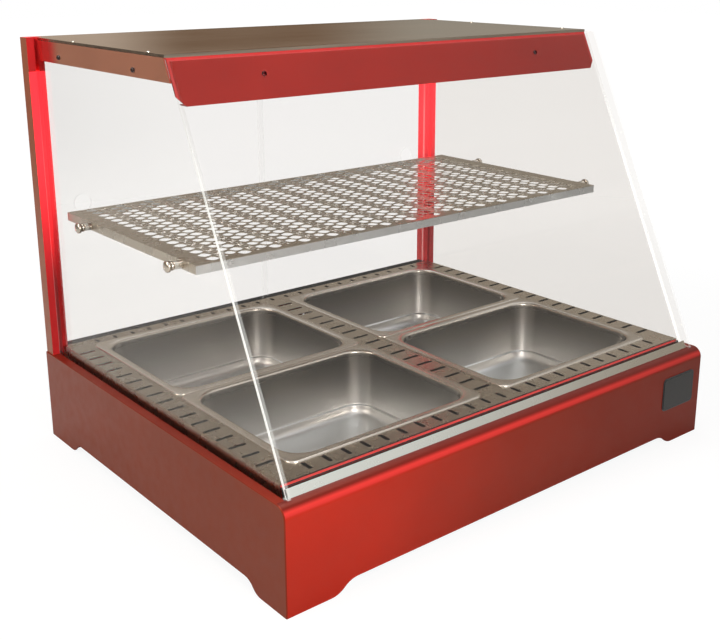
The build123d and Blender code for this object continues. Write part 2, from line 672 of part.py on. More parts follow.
def behind_fascia():
    """All the space behind the fascia, used to cut the rails' front ends to its slope."""
    t = GLASS + SHEET
    low = RAIL_BOTTOM - RAIL_HEIGHT
    points = [(slope_y(low, t), low), (slope_y(HEIGHT, t), HEIGHT), (DEPTH, HEIGHT), (DEPTH, low)]
    return across(points, -HALF, HALF)


def side_rail(side):
    """Painted channel along the top of the side pane, open to the middle of the case."""
    front = slope_y(RAIL_BOTTOM, GLASS)
    web = box(CABIN_HALF - SHEET, CABIN_HALF, front, POST_FRONT, RAIL_BOTTOM, ROOF_UNDER)
    for z in (RAIL_BOTTOM, ROOF_UNDER - SHEET):
        web += box(CABIN_HALF - RAIL_FLANGE, CABIN_HALF, front, POST_FRONT, z, z + SHEET)
    rail = web & behind_fascia()
    for y in RAIL_SCREW_Y:
        rail -= bar_x(CABIN_HALF - 2 * SHEET, CABIN_HALF + 1, y, RAIL_SCREW_Z,
                      SCREW_SHANK + HOLE_CLEAR, HOLE_SIDES)
    return mirrored(rail, side)


def fascia():
    """Painted band behind the top of the front pane, folded back at its top and bottom."""
    bottom = ROOF_UNDER - FASCIA_DROP
    low = slope(slope_length(bottom, GLASS), GLASS)
    high = slope(slope_length(ROOF_UNDER, GLASS), GLASS)
    line = [(low[0] + FASCIA_RETURN, bottom), low, high, (high[0] + RAIL_FLANGE, ROOF_UNDER)]
    band = across(folded(line), -FRONT_PANE_HALF, FRONT_PANE_HALF)
    flange_half = CABIN_HALF - RAIL_FLANGE - LIP_CLEAR
    for side in (-1, 1):
        a, b = sorted((side * flange_half, side * HALF))
        back = slope_y(HEIGHT, GLASS + SHEET) + 2 * RAIL_FLANGE
        keep = behind_fascia() & box(a, b, 0, back, RAIL_BOTTOM, HEIGHT)
        band -= keep
        x = side * FRONT_PANE_HALF
        corner = Polygon((x, bottom + FASCIA_CORNER_RISE), (x, bottom - 1),
                         (x - side * (FASCIA_CORNER_RUN + 1), bottom - 1), align=None)
        band -= extrude(Plane.XZ * corner, DEPTH / 2, dir=(0, 1, 0))
    return band - fascia_bores(GLASS - 1, GLASS + 2 * SHEET, SCREW_SHANK + HOLE_CLEAR)


def roof_panel():
    """Brushed stainless roof with its edges folded down, notched round the posts."""
    front = slope_y(ROOF_UNDER, GLASS) + LIP_CLEAR
    roof = box(-ROOF_HALF, ROOF_HALF, front, DEPTH, ROOF_UNDER, HEIGHT)
    roof -= box(-ROOF_HALF + ROOF_SHEET, ROOF_HALF - ROOF_SHEET, front + ROOF_SHEET,
                DEPTH - ROOF_SHEET, ROOF_UNDER, HEIGHT - ROOF_SHEET)
    for side in (-1, 1):
        a, b = sorted((side * (POST_IN - ROOF_CLEAR), side * HALF))
        roof -= box(a, b, POST_FRONT - ROOF_CLEAR, DEPTH, ROOF_UNDER, HEIGHT)
    return roof


def rear_header():
    """Painted angle across the top of the back, over the upper door track."""
    line = [(POST_FRONT + ROOF_CLEAR, ROOF_UNDER), (DEPTH, ROOF_UNDER), (DEPTH, ROOF_UNDER - HEADER_DROP)]
    return across(folded(line), -POST_IN, POST_IN)


def door_track(bottom, top, groove_bottom, groove_top):
    """Black twin-groove track; the grooves are open where they reach its top or bottom."""
    half = POST_IN
    track = box(-half, half, TRACK_FRONT, TRACK_FRONT + TRACK_DEPTH, bottom, top)
    for y in (INNER_DOOR_Y, OUTER_DOOR_Y):
        track -= box(-half, half, y - GROOVE / 2, y + GROOVE / 2, groove_bottom, groove_top)
    return track


def door(side, y):
    """Sliding glass door with a finger hole near its outer edge."""
    outer = POST_IN - 2 * DOOR_RUN_CLEAR
    inner = -DOOR_OVERLAP / 2
    z = (DOOR_BOTTOM + DOOR_TOP) / 2
    pane = Pos((outer + inner) / 2, z) * Rectangle(outer - inner, DOOR_TOP - DOOR_BOTTOM)
    pane -= Pos(outer - FINGER_HOLE_EDGE, FINGER_HOLE_Z) * Circle(FINGER_HOLE / 2)
    glass = Pos(0, y - DOOR / 2, 0) * extrude(Plane.XZ * pane, DOOR, dir=(0, 1, 0))
    return mirrored(glass, side)


def mesh_holes():
    """Diamond openings in staggered columns, as many as fit inside the plain border."""
    columns = int((2 * (SHELF_HALF - MESH_BORDER) - MESH_HOLE_X) / MESH_PITCH_X) + 1
    rows = int((SHELF_DEPTH - 2 * MESH_BORDER - MESH_HOLE_Y) / MESH_PITCH_Y) + 1
    a = MESH_HOLE_X / 2
    b = MESH_HOLE_Y / 2
    diamond = [(-a, 0), (0, -b), (a, 0), (0, b)]
    holes = []
    for i in range(columns):
        x = (i - (columns - 1) / 2) * MESH_PITCH_X
        count = rows - i % 2
        for j in range(count):
            y = (SHELF_FRONT + SHELF_REAR) / 2 + (j - (count - 1) / 2) * MESH_PITCH_Y
            holes.append(Pos(x, y) * Polygon(*diamond, align=None))
    return holes


def mesh_shelf():
    """Pierced stainless shelf with its four edges folded down."""
    middle = (SHELF_FRONT + SHELF_REAR) / 2
    plate = Pos(0, middle) * Rectangle(2 * SHELF_HALF, SHELF_DEPTH)
    shelf = Pos(0, 0, SHELF_TOP - SHELF_SHEET) * pierced(plate, mesh_holes(), SHELF_SHEET)
    low = SHELF_TOP - SHELF_FLANGE
    under = SHELF_TOP - SHELF_SHEET
    rim = box(-SHELF_HALF, SHELF_HALF, SHELF_FRONT, SHELF_REAR, low, under)
    rim -= box(-SHELF_HALF + SHELF_SHEET, SHELF_HALF - SHELF_SHEET, SHELF_FRONT + SHELF_SHEET,
               SHELF_REAR - SHELF_SHEET, low, under)
    shelf += rim
    for y in PIN_Y:
        shelf -= bar_x(-SHELF_HALF - 1, SHELF_HALF + 1, y, PIN_Z, PIN_SHANK + HOLE_CLEAR, HOLE_SIDES)
    return shelf


def shelf_pin(side, y):
    """A pin from the shelf's flange out through the side pane, with a broad head."""
    neck = PANE_OUT + WASHER_LENGTH + PIN_NECK_LENGTH
    pin = bar_x(SHELF_HALF - PIN_TAIL, SHELF_HALF, y, PIN_Z, PIN_SHANK, HOLE_SIDES)
    pin += bar_x(SHELF_HALF, PANE_OUT, y, PIN_Z, PIN_BARREL, ROUND_SIDES)
    pin += bar_x(PANE_OUT, neck, y, PIN_Z, PIN_NECK, HOLE_SIDES)
    pin += bar_x(neck, neck + PIN_HEAD_LENGTH, y, PIN_Z, PIN_HEAD, ROUND_SIDES)
    return mirrored(pin, side)


def pin_washer(side, y):
    """A ring round the pin, against the outside of the side pane."""
    ring = bar_x(PANE_OUT, PANE_OUT + WASHER_LENGTH, y, PIN_Z, WASHER, ROUND_SIDES)
    ring -= bar_x(PANE_OUT, PANE_OUT + WASHER_LENGTH, y, PIN_Z, PIN_NECK, HOLE_SIDES)
    return mirrored(ring, side)


def screw():
    """A small screw along +Z: its head stands on the plane z = 0, its shank goes below."""
    head = extrude(RegularPolygon(SCREW_HEAD / 2, HOLE_SIDES), SCREW_HEAD_LENGTH)
    shank = extrude(RegularPolygon(SCREW_SHANK / 2, HOLE_SIDES), SCREW_GRIP)
    return head + Pos(0, 0, -SCREW_GRIP) * shank


def rail_screws():
    """Four screws that hold the side panes to the rails."""
    right = [Pos(CABIN_HALF, y, RAIL_SCREW_Z) * Rot(0, 90, 0) * screw() for y in RAIL_SCREW_Y]
    return right + [mirror(s, Plane.YZ) for s in right]


def fascia_screws():
    """Two screws that hold the front pane to the fascia."""
    y, z = slope(slope_length(FASCIA_SCREW_Z), GLASS)
    return [Pos(x, y, z) * Rot(90 - LEAN, 0, 0) * screw() for x in (-FASCIA_SCREW_X, FASCIA_SCREW_X)]


def rod_places():
    """The four heating rods: name and X, two under each side's pans."""
    middle = PAN_GAP / 2 + PAN_LENGTH / 2
    return (("left_outer", -middle - ROD_SPREAD / 2), ("left_inner", -middle + ROD_SPREAD / 2),
            ("right_inner", middle - ROD_SPREAD / 2), ("right_outer", middle + ROD_SPREAD / 2))


def heating_rod(x):
    """A straight sheathed heating rod with a thinner terminal at its rear end."""
    rear = PAN_REAR - ROD_REAR_GAP
    rod = bar_y(x, rear - ROD_LENGTH, rear, ROD_Z, ROD, HOLE_SIDES)
    w = ROD_TAB / 2
    h = ROD_TAB_SHEET / 2
    return rod + box(x - w, x + w, rear, rear + ROD_TERMINAL, ROD_Z - h, ROD_Z + h)


def rod_brackets():
    """Four folded strips on the tray, each with two notches that the rods lie in."""
    brackets = []
    rear = PAN_REAR - ROD_REAR_GAP
    middle = PAN_GAP / 2 + PAN_LENGTH / 2
    reach = ROD_SPREAD / 2 + BRACKET_MARGIN
    notch = ROD / 2 + ROD_CLEAR
    for side in (-1, 1):
        for y in (rear - ROD_HOLD, rear - ROD_LENGTH + ROD_HOLD):
            bend = TRAY_TOP + SHEET
            line = [(y + BRACKET_FOOT, bend), (y, bend), (y, ROD_Z + ROD / 2)]
            strip = across(folded(line[::-1]), side * middle - reach, side * middle + reach)
            for x in (side * middle - ROD_SPREAD / 2, side * middle + ROD_SPREAD / 2):
                strip -= box(x - notch, x + notch, y - ROD, y + ROD, ROD_Z - notch, ROD_Z + ROD)
            brackets.append(strip)
    return brackets


def thermostat_body():
    """Control behind the rear wall, with a blind hole for the spindle."""
    rear = REAR_FACE - SHEET
    r = THERMOSTAT / 2
    body = box(KNOB_X - r, KNOB_X + r, rear - THERMOSTAT_LENGTH, rear, CONTROL_Z - r, CONTROL_Z + r)
    bore_end = rear - THERMOSTAT_LENGTH / 2
    return body - bar_y(KNOB_X, bore_end, rear, CONTROL_Z, SPINDLE_HOLE, HOLE_SIDES)


def thermostat_spindle():
    """The turning shaft between the control and its knob."""
    front = REAR_FACE - SHEET - THERMOSTAT_LENGTH / 2 + KNOB_GAP
    rear = REAR_FACE + KNOB_GAP + KNOB_SKIRT
    return bar_y(KNOB_X, front, rear, CONTROL_Z, SPINDLE, HOLE_SIDES)


def thermostat_knob():
    """Fluted knob with a round skirt, and a pointer rib on its face."""
    back = REAR_FACE + KNOB_GAP
    r = KNOB / 2
    grip = KNOB - 2 * KNOB_SKIRT
    knob = bar_y(KNOB_X, back, back + KNOB_SKIRT / 2, CONTROL_Z, KNOB, 2 * ROUND_SIDES)
    face = back + KNOB_LENGTH
    knob += bar_y(KNOB_X, back, face, CONTROL_Z, grip, ROUND_SIDES)
    w = FLUTE / 2
    for i in range(KNOB_FLUTES):
        turn = Pos(KNOB_X, 0, CONTROL_Z) * Rot(0, 360 / KNOB_FLUTES * (i + 0.5), 0)
        knob -= turn * box(-w, w, back + KNOB_SKIRT, face + 1, grip / 2 - w, r)
    knob -= bar_y(KNOB_X, back, back + KNOB_SKIRT, CONTROL_Z, SPINDLE, HOLE_SIDES)
    return knob + box(KNOB_X - w, KNOB_X + w, face, face + POINTER_RISE,
                      CONTROL_Z + FLUTE, CONTROL_Z + grip / 2 - FLUTE)


def switch_housing():
    """Switch body behind the wall, a thin bezel outside it, and a pocket for the rocker."""
    shape = box(SWITCH_X - SWITCH_WIDTH / 2, SWITCH_X + SWITCH_WIDTH / 2,
                REAR_FACE, REAR_FACE + SWITCH_BEZEL,
                CONTROL_Z - SWITCH_HEIGHT / 2, CONTROL_Z + SWITCH_HEIGHT / 2)
    w = SWITCH_WIDTH / 2 - SWITCH_LAP
    h = SWITCH_HEIGHT / 2 - SWITCH_LAP
    shape += box(SWITCH_X - w, SWITCH_X + w, REAR_FACE - SHEET - SWITCH_BODY, REAR_FACE,
                 CONTROL_Z - h, CONTROL_Z + h)
    w = ROCKER_WIDTH / 2 + ROCKER_CLEAR
    h = ROCKER_HEIGHT / 2 + ROCKER_CLEAR
    shape -= box(SWITCH_X - w, SWITCH_X + w, REAR_FACE - SWITCH_BODY / 2, REAR_FACE + SWITCH_BEZEL,
                 CONTROL_Z - h, CONTROL_Z + h)
    reach = w + ROCKER_PIVOT_REACH + PANE_HOLE_CLEAR
    pivot = bar_x(SWITCH_X - reach, SWITCH_X + reach, REAR_FACE - ROCKER_PIVOT_IN, CONTROL_Z,
                  ROCKER_PIVOT + 2 * INNER_CLEAR, HOLE_SIDES)
    return shape - pivot


def rocker_switch():
    """Rocker on two small pivots, at rest with its upper half pressed in."""
    tilt = math.tan(math.radians(ROCKER_TILT))
    h = ROCKER_HEIGHT / 2
    face = SWITCH_BEZEL + h * tilt
    tip = face + h * tilt
    end = h - ROCKER_TRIM
    pivot_y = -ROCKER_PIVOT_IN
    keel = pivot_y - ROCKER_KEEL
    points = [(face, 0), (tip, end), (pivot_y, end), (keel, ROCKER_KEEL), (keel, -ROCKER_KEEL),
              (pivot_y, -end), (tip, -end)]
    w = ROCKER_WIDTH / 2
    rocker = across(points, -w, w)
    reach = w + ROCKER_PIVOT_REACH
    rocker += bar_x(-reach, reach, pivot_y, 0, ROCKER_PIVOT, HOLE_SIDES)
    shape = Rot(ROCKER_TILT, 0, 0) * (Pos(0, ROCKER_PIVOT_IN, 0) * rocker)
    return Pos(SWITCH_X, REAR_FACE - ROCKER_PIVOT_IN, CONTROL_Z) * shape


def indicator_lamp():
    """Small lamp with a collar outside the wall and a stepped cap."""
    lamp = bar_y(LAMP_X, REAR_FACE - LAMP_BODY, REAR_FACE, CONTROL_Z, LAMP, HOLE_SIDES)
    for length, diameter in LAMP_STEPS:
        lamp += bar_y(LAMP_X, REAR_FACE, REAR_FACE + length, CONTROL_Z, diameter, ROUND_SIDES)
    return lamp


def cable_gland():
    """Cable inlet: a hexagonal cap outside the wall and a nut inside it, on a hollow stem."""
    front = REAR_FACE - GLAND_INSIDE
    rear = REAR_FACE + GLAND_OUTSIDE
    gland = bar_y(GLAND_X, front, rear, GLAND_Z, GLAND_HOLE, ROUND_SIDES)
    gland += bar_y(GLAND_X, front, REAR_FACE - SHEET, GLAND_Z, GLAND_NUT, 6)
    gland += bar_y(GLAND_X, REAR_FACE, REAR_FACE + GLAND_CAP, GLAND_Z, GLAND_NUT, 6)
    return gland - bar_y(GLAND_X, front, rear, GLAND_Z, GLAND_BORE, HOLE_SIDES)


def terminal_block():
    """Three-way terminal block on the tray, beside the gland."""
    y = REAR_FACE - 2 * SHEET - TERMINAL_GAP - TERMINAL_DEPTH
    x = GLAND_X + 3 * TERMINAL_PITCH
    top = TRAY_TOP + TERMINAL_HEIGHT
    block = box(x, x + 3 * TERMINAL_PITCH, y, y + TERMINAL_DEPTH, TRAY_TOP, top)
    for i in range(3):
        left = x + TERMINAL_PITCH * i + TERMINAL_STEP
        block += box(left, left + TERMINAL_PITCH - 2 * TERMINAL_STEP, y + TERMINAL_STEP,
                     y + TERMINAL_DEPTH - TERMINAL_STEP, top, top + 2 * TERMINAL_STEP)
    return block


def sensor_bulb():
    """Temperature bulb of the thermostat, lying in its clip."""
    rear = PAN_REAR - BULB_SETBACK
    return bar_y(0, rear - BULB_LENGTH, rear, TRAY_TOP + BULB_LIFT, BULB, HOLE_SIDES)


def sensor_clip():
    """Folded clip on the tray that holds the bulb."""
    y = PAN_REAR - BULB_SETBACK - BULB_LENGTH / 2
    bend = TRAY_TOP + SHEET
    top = TRAY_TOP + BULB_LIFT + BULB
    clip = across(folded([(y, top), (y, bend), (y + BRACKET_FOOT, bend)]), -BULB, BULB)
    r = BULB / 2
    return clip - box(-r, r, y - BULB, y + BULB, TRAY_TOP + BULB_LIFT - r, top)


def build():
    """Every sub-part by its node's name; identical fasteners are one group of solids."""
    parts = {
        "front_panel": front_panel(),
        "front_inner_wall": front_inner_wall(),
        "bottom_plate": bottom_plate(),
        "rear_panel": rear_panel(),
        "rear_sill": rear_sill(),
        "deck": deck(),
        "glass_channel": glass_channel(),
        "front_gasket": front_gasket(),
        "front_glass": front_glass(),
        "fascia": fascia(),
        "roof_panel": roof_panel(),
        "rear_header": rear_header(),
        "lower_door_track": door_track(BASE_TOP, DECK_TOP, BASE_TOP + TRACK_FLOOR, DECK_TOP),
        "upper_door_track": door_track(
            UPPER_TRACK_BOTTOM, ROOF_UNDER - SHEET, UPPER_TRACK_BOTTOM,
            UPPER_TRACK_BOTTOM + UPPER_GROOVE_DEPTH),
        "door_left": door(-1, OUTER_DOOR_Y),
        "door_right": door(1, INNER_DOOR_Y),
        "mesh_shelf": mesh_shelf(),
        "shelf_pins": [shelf_pin(side, y) for _, side in SIDES for y in PIN_Y],
        "pin_washers": [pin_washer(side, y) for _, side in SIDES for y in PIN_Y],
        "rail_screws": rail_screws(),
        "fascia_screws": fascia_screws(),
        "rod_brackets": rod_brackets(),
        "thermostat_body": thermostat_body(),
        "thermostat_spindle": thermostat_spindle(),
        "thermostat_knob": thermostat_knob(),
        "sensor_bulb": sensor_bulb(),
        "sensor_clip": sensor_clip(),
        "switch_housing": switch_housing(),
        "rocker_switch": rocker_switch(),
        "indicator_lamp": indicator_lamp(),
        "cable_gland": cable_gland(),
        "terminal_block": terminal_block(),
    }
    for name, x, y in pan_centres():
        parts["pan_" + name] = pan(x, y)
    for name, x in rod_places():
        parts["heating_rod_" + name] = heating_rod(x)
    for name, side in SIDES:
        parts["side_panel_" + name] = side_panel(side)
        parts["deck_bearer_" + name] = deck_bearer(side)
        parts["side_glass_" + name] = side_glass(side)
        parts["rear_post_" + name] = rear_post(side)
        parts["side_rail_" + name] = side_rail(side)
    return parts


def write(parts):
    """Write each sub-part to its own file, moved to the case's own origin."""
    os.makedirs("parts", exist_ok=True)
    home = Pos(0, -DEPTH / 2, 0)
    for name, shape in parts.items():
        solids = shape if isinstance(shape, list) else shape.solids()
        solids = [s for piece in solids for s in piece.solids()]
        placed = [home * s for s in solids]
        whole = placed[0] if len(placed) == 1 else Compound(children=placed)
        export_step(whole, f"parts/{name}.step")


write(build())
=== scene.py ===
import math

import bmesh
import bpy
from mathutils import Matrix, Vector
from mathutils.geometry import delaunay_2d_cdt


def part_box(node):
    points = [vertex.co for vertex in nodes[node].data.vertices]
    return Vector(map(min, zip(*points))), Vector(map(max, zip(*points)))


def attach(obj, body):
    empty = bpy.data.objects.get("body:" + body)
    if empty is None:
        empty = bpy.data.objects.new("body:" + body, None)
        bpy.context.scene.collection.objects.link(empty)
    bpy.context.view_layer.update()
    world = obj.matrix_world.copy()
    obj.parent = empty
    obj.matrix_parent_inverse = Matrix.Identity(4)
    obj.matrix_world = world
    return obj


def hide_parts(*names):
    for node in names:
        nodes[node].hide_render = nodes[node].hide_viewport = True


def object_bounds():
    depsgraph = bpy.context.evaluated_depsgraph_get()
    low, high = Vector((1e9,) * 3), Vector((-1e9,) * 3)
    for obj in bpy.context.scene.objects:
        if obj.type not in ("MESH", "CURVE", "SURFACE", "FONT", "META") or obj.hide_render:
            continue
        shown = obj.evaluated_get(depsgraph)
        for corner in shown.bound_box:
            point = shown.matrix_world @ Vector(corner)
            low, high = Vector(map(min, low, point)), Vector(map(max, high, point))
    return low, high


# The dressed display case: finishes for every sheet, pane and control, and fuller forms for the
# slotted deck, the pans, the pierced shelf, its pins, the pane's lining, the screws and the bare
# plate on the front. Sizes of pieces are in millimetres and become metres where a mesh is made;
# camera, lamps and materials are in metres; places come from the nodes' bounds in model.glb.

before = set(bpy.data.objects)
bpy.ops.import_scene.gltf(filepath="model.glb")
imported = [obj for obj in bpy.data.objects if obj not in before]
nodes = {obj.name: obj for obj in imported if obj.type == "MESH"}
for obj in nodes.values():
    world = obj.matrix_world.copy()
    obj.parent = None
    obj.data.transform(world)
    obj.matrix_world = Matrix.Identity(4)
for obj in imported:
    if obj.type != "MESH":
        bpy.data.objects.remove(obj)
cad_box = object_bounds()
FRONT_Y = cad_box[0][1] * 1000
MM = 0.001
X, Y, Z = 0, 1, 2

# Camera, solved from the straight edges of the case
CAMERA_AT = (-0.99876, -1.20299, 0.72839)
CAMERA_AZIMUTH = -40.00
CAMERA_ELEVATION = 15.51
CAMERA_ROLL = 0.10
CAMERA_LENS = 53.128
CAMERA_SHIFT = (-0.02972, -0.09136)
CAMERA_SENSOR = 36

# Lamps: place, target, size, power, colour, and whether glass and metal mirror them
LAMPS = {
    "key": ((-0.42, -1.0, 0.60), (-0.30, -0.32, 0.07), (0.35, 0.35), 6.6, (1.0, 0.96, 0.92), True),
    "fill": ((-2.2, 0.2, 1.5), (-0.2, 0.0, 0.2), (1.4, 1.4), 28, (1.0, 0.95, 0.88), True),
    "top": ((0.1, 0.2, 2.2), (0.0, 0.0, 0.3), (1.8, 1.4), 26, (1, 1, 1), True),
    "rear": ((0.3, 2.4, 0.8), (0.0, 0.3, 0.2), (1.6, 0.9), 18, (1, 1, 1), False),
}

# Studio: the even fill, and what reflections meet to the left, right, front and above
AMBIENT = 0.11
AMBIENT_TINT = (1.0, 0.97, 0.93)
STUDIO_LEFT = (0.26, 0.20, 0.15)
STUDIO_RIGHT = (0.38, 0.33, 0.27)
STUDIO_ROOM = (0.52, 0.42, 0.33)
STUDIO_DOORWAY = (0.14, 0.07, 0.03)
STUDIO_WALL = (0.33, 0.31, 0.26)
STUDIO_FRONT = (1.15, 1.13, 1.10)
STUDIO_TOP = (1.05, 1.07, 1.10)
# Where those tones take over, by how far a direction points right, up or back
LEFT_TO_RIGHT = (-0.9, 0.9)
ROOM_TO_DOORWAY = (0.42, 0.50)
DOORWAY_TO_WALL = (0.58, 0.68)
LOW_TO_HIGH = (0.10, 0.20)
FRONT_TO_BACK = (-0.95, 0.1)
SIDES_TO_TOP = (0.30, 0.85)

# Floor: its colour, its colour for the light it throws back, and its white further out
FLOOR_TONE = (0.86, 0.85, 0.83)
FLOOR_BOUNCE = (0.12, 0.115, 0.11)
FLOOR_WHITE = 1.05
FLOOR_FADE = (0.7, 1.9)
FLOOR_SHARE = (0.86, 1.0)
FLOOR_HALF = 12.0

# Sockets of a Mix node's two colours and of their mix, which share their names with others
MIX_FIRST, MIX_SECOND, MIX_RESULT = 6, 7, 2
# Materials: what a noise's useful values are, and the darker share of a mottled or cloudy tone
NOISE_RANGE = (0.3, 0.7)
MOTTLED = 0.88
CLOUDED = 0.92
# Noises: size, detail and roughness
MOTTLE = (9.0, 3.0)
PAINT_GLOSS = (60.0, 4.0)
PEEL = (420.0, 2.0)
STREAKS = (1.0, 6.0, 0.65)
BRUSHED_CLOUDS = (5.0, 2.0)
SATIN_CLOUDS = (4.0, 2.0)
SATIN_GLOSS = (30.0, 3.0)
PLAIN_CLOUDS = (25.0, 3.0)
GRAIN_DETAIL = 3.0
# Bumps: strength and height in metres
PEEL_BUMP = (0.05, 0.0006)
STREAK_BUMP = (0.12, 0.0002)
GRAIN_HEIGHT = 0.0003
# Where painted light and shade take over: by how far a face looks to a side or up, or by the
# place in the case
TO_SIDE_SHADE = (0.6, 0.9)
TO_HIGHLIGHT = (0.10, 0.34)
TO_CREST_SHADE = (0.50, 0.82)
TO_PAN_FLOOR_LIGHT = (0.55, 0.98)
PANEL_SHADE_TO_RIGHT = (-0.38, 0.08)
STEEL_REFLECTION_TO_RIGHT = (-0.35, 0.40)
LOOKS_BACK = 0.5
# Roughness: of paint and of satin steel by a noise, of a pan from its floor to its walls' top, and
# the shares of its own number that a plain material keeps to
PAINT_ROUGH = (0.30, 0.40)
SATIN_ROUGH = (0.26, 0.29)
PAN_ROUGH = (0.40, 0.27)
PLAIN_SPREAD = (0.85, 1.15)
# Brushed steel: how much of its tone is streaks and how much is clouds
STREAK_SHARE = 0.75
CLOUD_SHARE = 0.25
# How far inside the posts' and the fascia's outer faces another colour begins, in metres: the
# posts' painted glow and the fascia's painted highlight
POST_SKIN = 0.0005
FASCIA_HEM = 0.004
# Glass: mirror share seen straight on and what it gains at a flat angle, and the pale ground edge,
# which glows as painted light at its full share up to a height and fades out to a part of it
MIRROR_LEAST = 0.018
MIRROR_GAIN = 0.8
MIRROR_POWER = 5.0
PANE_FACE = 0.8
EDGE_COLOUR = (0.93, 0.95, 0.94)
EDGE_GLOW = (0.95, 1.0, 0.98)
EDGE_STRENGTH = 0.7
EDGE_ROUGH = 0.25
EDGE_FADE = (0.40, 0.585)
EDGE_LEFT = 0.02

# Pierced sheets, in metres: what counts as one point when they are cut and when they are joined
CUT_LIMIT = 1e-7
WELD_LIMIT = 1e-6

# Shelf pattern
SHELF_SHEET = 0.8
PAIR_PITCH = 46.9
ROW_PITCH = 20.0
WIDE_COLUMN = -342.0
NARROW_COLUMN = -310.5
COLUMNS = 15
WIDE_ROWS = 18
FIRST_ROW = 228.0
# Each opening: the way to its right tip and to its rear bulge, and the points of each of its arcs
OPENING = ((9.0, -3.4), (3.4, 8.2))
NARROW_OPENING = ((8.0, -2.9), (2.9, 7.4))
SLIT = ((2.6, -1.0), (0.9, 2.9))
SLIT_STEPS = (12.4, 20.4)
OPENING_POINTS = 6
SLIT_POINTS = 3
# Each raised strand: its path from an opening's middle, its depth in the sheet and its taper
STRAND_RADIUS = 0.8
STRAND_SIDES = 6
STRAND_SINK = 0.3
STRAND_END = 0.45
STRAND_PATH = ((8.6, 1.5), (10.6, 3.2), (13.2, 4.3), (16.0, 5.0), (18.8, 5.7), (21.4, 6.8),
               (23.4, 8.5))

# Deck and pans
SLOT_WIDTH = 6.0
SLOT_PITCH = 30.0
SLOT_END = 5
SIDE_SLOTS = 17
ROW_SLOTS = 23
SIDE_SLOT = 25.4
CENTRE_SLOT = 29.5
FRONT_SLOT = 20.0
REAR_SLOT = 12.0
SLOT_INSET = 16.0
FRONT_ROW_SHIFT = 3.4
DECK_SHEET = 0.8
DECK_BEND = 2.4
DECK_BEND_STEPS = 5
DECK_FRONT_LIP = 1.0
DECK_REAR_LIP = 8.0
DECK_REAR_GAP = 0.4
PAN_HOLE_INSET = 10.0
PAN_HOLE_CORNER = 30.0
PAN_HOLE_SEGMENTS = 4
PANS = ("pan_front_left", "pan_front_right", "pan_rear_left", "pan_rear_right")
PAN_SEGMENTS = 12
PAN_SHEET = 0.9
RIM_DEPTH = 2.5
RIM_WIDTH = 10.0
FLOOR_INSET = 24.5
# Each ring of a pan's inside: inset from the rim's edge, corner radius, depth under the rim's top
PAN_PROFILE = (
    (0.0, 13.0, 2.4), (0.15, 13.0, 1.6), (0.6, 12.7, 0.8), (1.3, 12.2, 0.25), (2.2, 12.0, 0.0),
    (8.6, 30.0, 0.0), (10.4, 34.0, 0.25), (12.0, 35.4, 1.2), (12.8, 36.0, 2.6),
    (13.05, 36.0, 4.2), (18.9, 33.0, 83.6), (19.2, 33.0, 84.6), (20.0, 32.5, 85.1),
    (22.0, 31.0, 85.4), (22.8, 30.5, 85.9), (23.2, 30.3, 87.2), (23.9, 30.0, 90.5),
    (25.6, 29.0, 94.6), (28.6, 27.0, 97.8), (33.0, 24.0, 99.5), (38.0, 20.0, 100.0),
)

# Pins, washers, screws and roof buttons: radius, height along the axis
PIN_Y = (247.0, 499.0)
PIN_DROP = 5.5
PIN_SIDES = 40
PIN_PROFILE = (
    (2.4, -6.0), (3.0, -5.4), (3.0, 0.0), (4.8, 0.0), (5.25, 0.5), (5.25, 11.2), (4.8, 11.7),
    (4.0, 11.8), (4.0, 16.9), (5.6, 17.0), (7.0, 17.6), (7.5, 18.6), (7.5, 20.6), (7.0, 21.8),
    (5.8, 22.6), (2.6, 23.0), (2.2, 22.5),
)
WASHER_PROFILE = (
    (4.1, 11.7), (5.0, 11.8), (5.6, 12.4), (5.9, 13.4), (5.9, 14.8), (5.5, 15.8), (4.1, 16.2))
RAIL_SCREW_Y = (331.0, 550.0)
RAIL_SCREW_Z = 596.5
FASCIA_SCREW_X = 250.0
FASCIA_SCREW_Z = 592.4
SCREW_SIDES = 24
SCREW_PROFILE = (
    (2.0, -8.0), (2.0, 0.0), (3.25, 0.0), (3.25, 1.7), (3.0, 2.5), (2.4, 2.95), (1.6, 3.0),
    (1.5, 1.5), (0.3, 1.4),
)
BUTTON_Y = (298.0, 510.0)
BUTTON_INSET = 3.2
BUTTON_SIDES = 20
BUTTON_PROFILE = ((2.6, 0.0), (2.6, 0.5), (2.2, 1.0), (1.3, 1.3), (0.3, 1.35))

# Leaning pane: its slope from upright, and the gap that keeps a sheet behind glass apart from it
LEAN = 25.28
GLASS_GAP = 0.15
PANE_TINT = (0.968, 0.960, 0.950)
FRONT_TINT = (0.938, 0.930, 0.922)
DOOR_TINT = (0.998, 0.997, 0.996)
BASE_TOP = 139.5
GLASS_FOOT_Y = 22.0
GLASS_SHEET = 5.0
# Lining of the front pane's channel, along the pane's slope: floor, front and back tops
LINING_FRONT = 3.2
LINING_BACK = 1.2
LINING_FLOOR = (-12.8, -11.8)
LINING_TOPS = (8.7, 11.6)
# Bare plate: the rim and the face in it, each with how far its front and its back stand out, and
# how far its edge stands out more
PLATE_X = (304.0, 381.5)
PLATE_Z = (57.0, 110.0)
PLATE_CORNER = 7.0
PLATE_SEGMENTS = 8
PLATE_EDGE = 0.25
PLATE_RIM_WIDTH = 2.0
PLATE_RIM_DEPTHS = (0.7, 0.0)
PLATE_FACE_DEPTHS = (1.1, 0.5)

# Angles in degrees under which a turn between faces is drawn smooth
SMOOTH_TURNED = 35
SMOOTH_BENT = 40
SMOOTH_DRAWN = 50
SMOOTH_STRAND = 60


def place(x, y, z):
    """A point given in mm, with Y counted from the base's front face, in the frame's metres."""
    return Vector((x * MM, (y + FRONT_Y) * MM, z * MM))


def extent(node_name):
    """A node's half width, front, rear, bottom and top, in mm, for one in the case's middle."""
    low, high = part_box(node_name)
    return high.x / MM, low.y / MM - FRONT_Y, high.y / MM - FRONT_Y, low.z / MM, high.z / MM


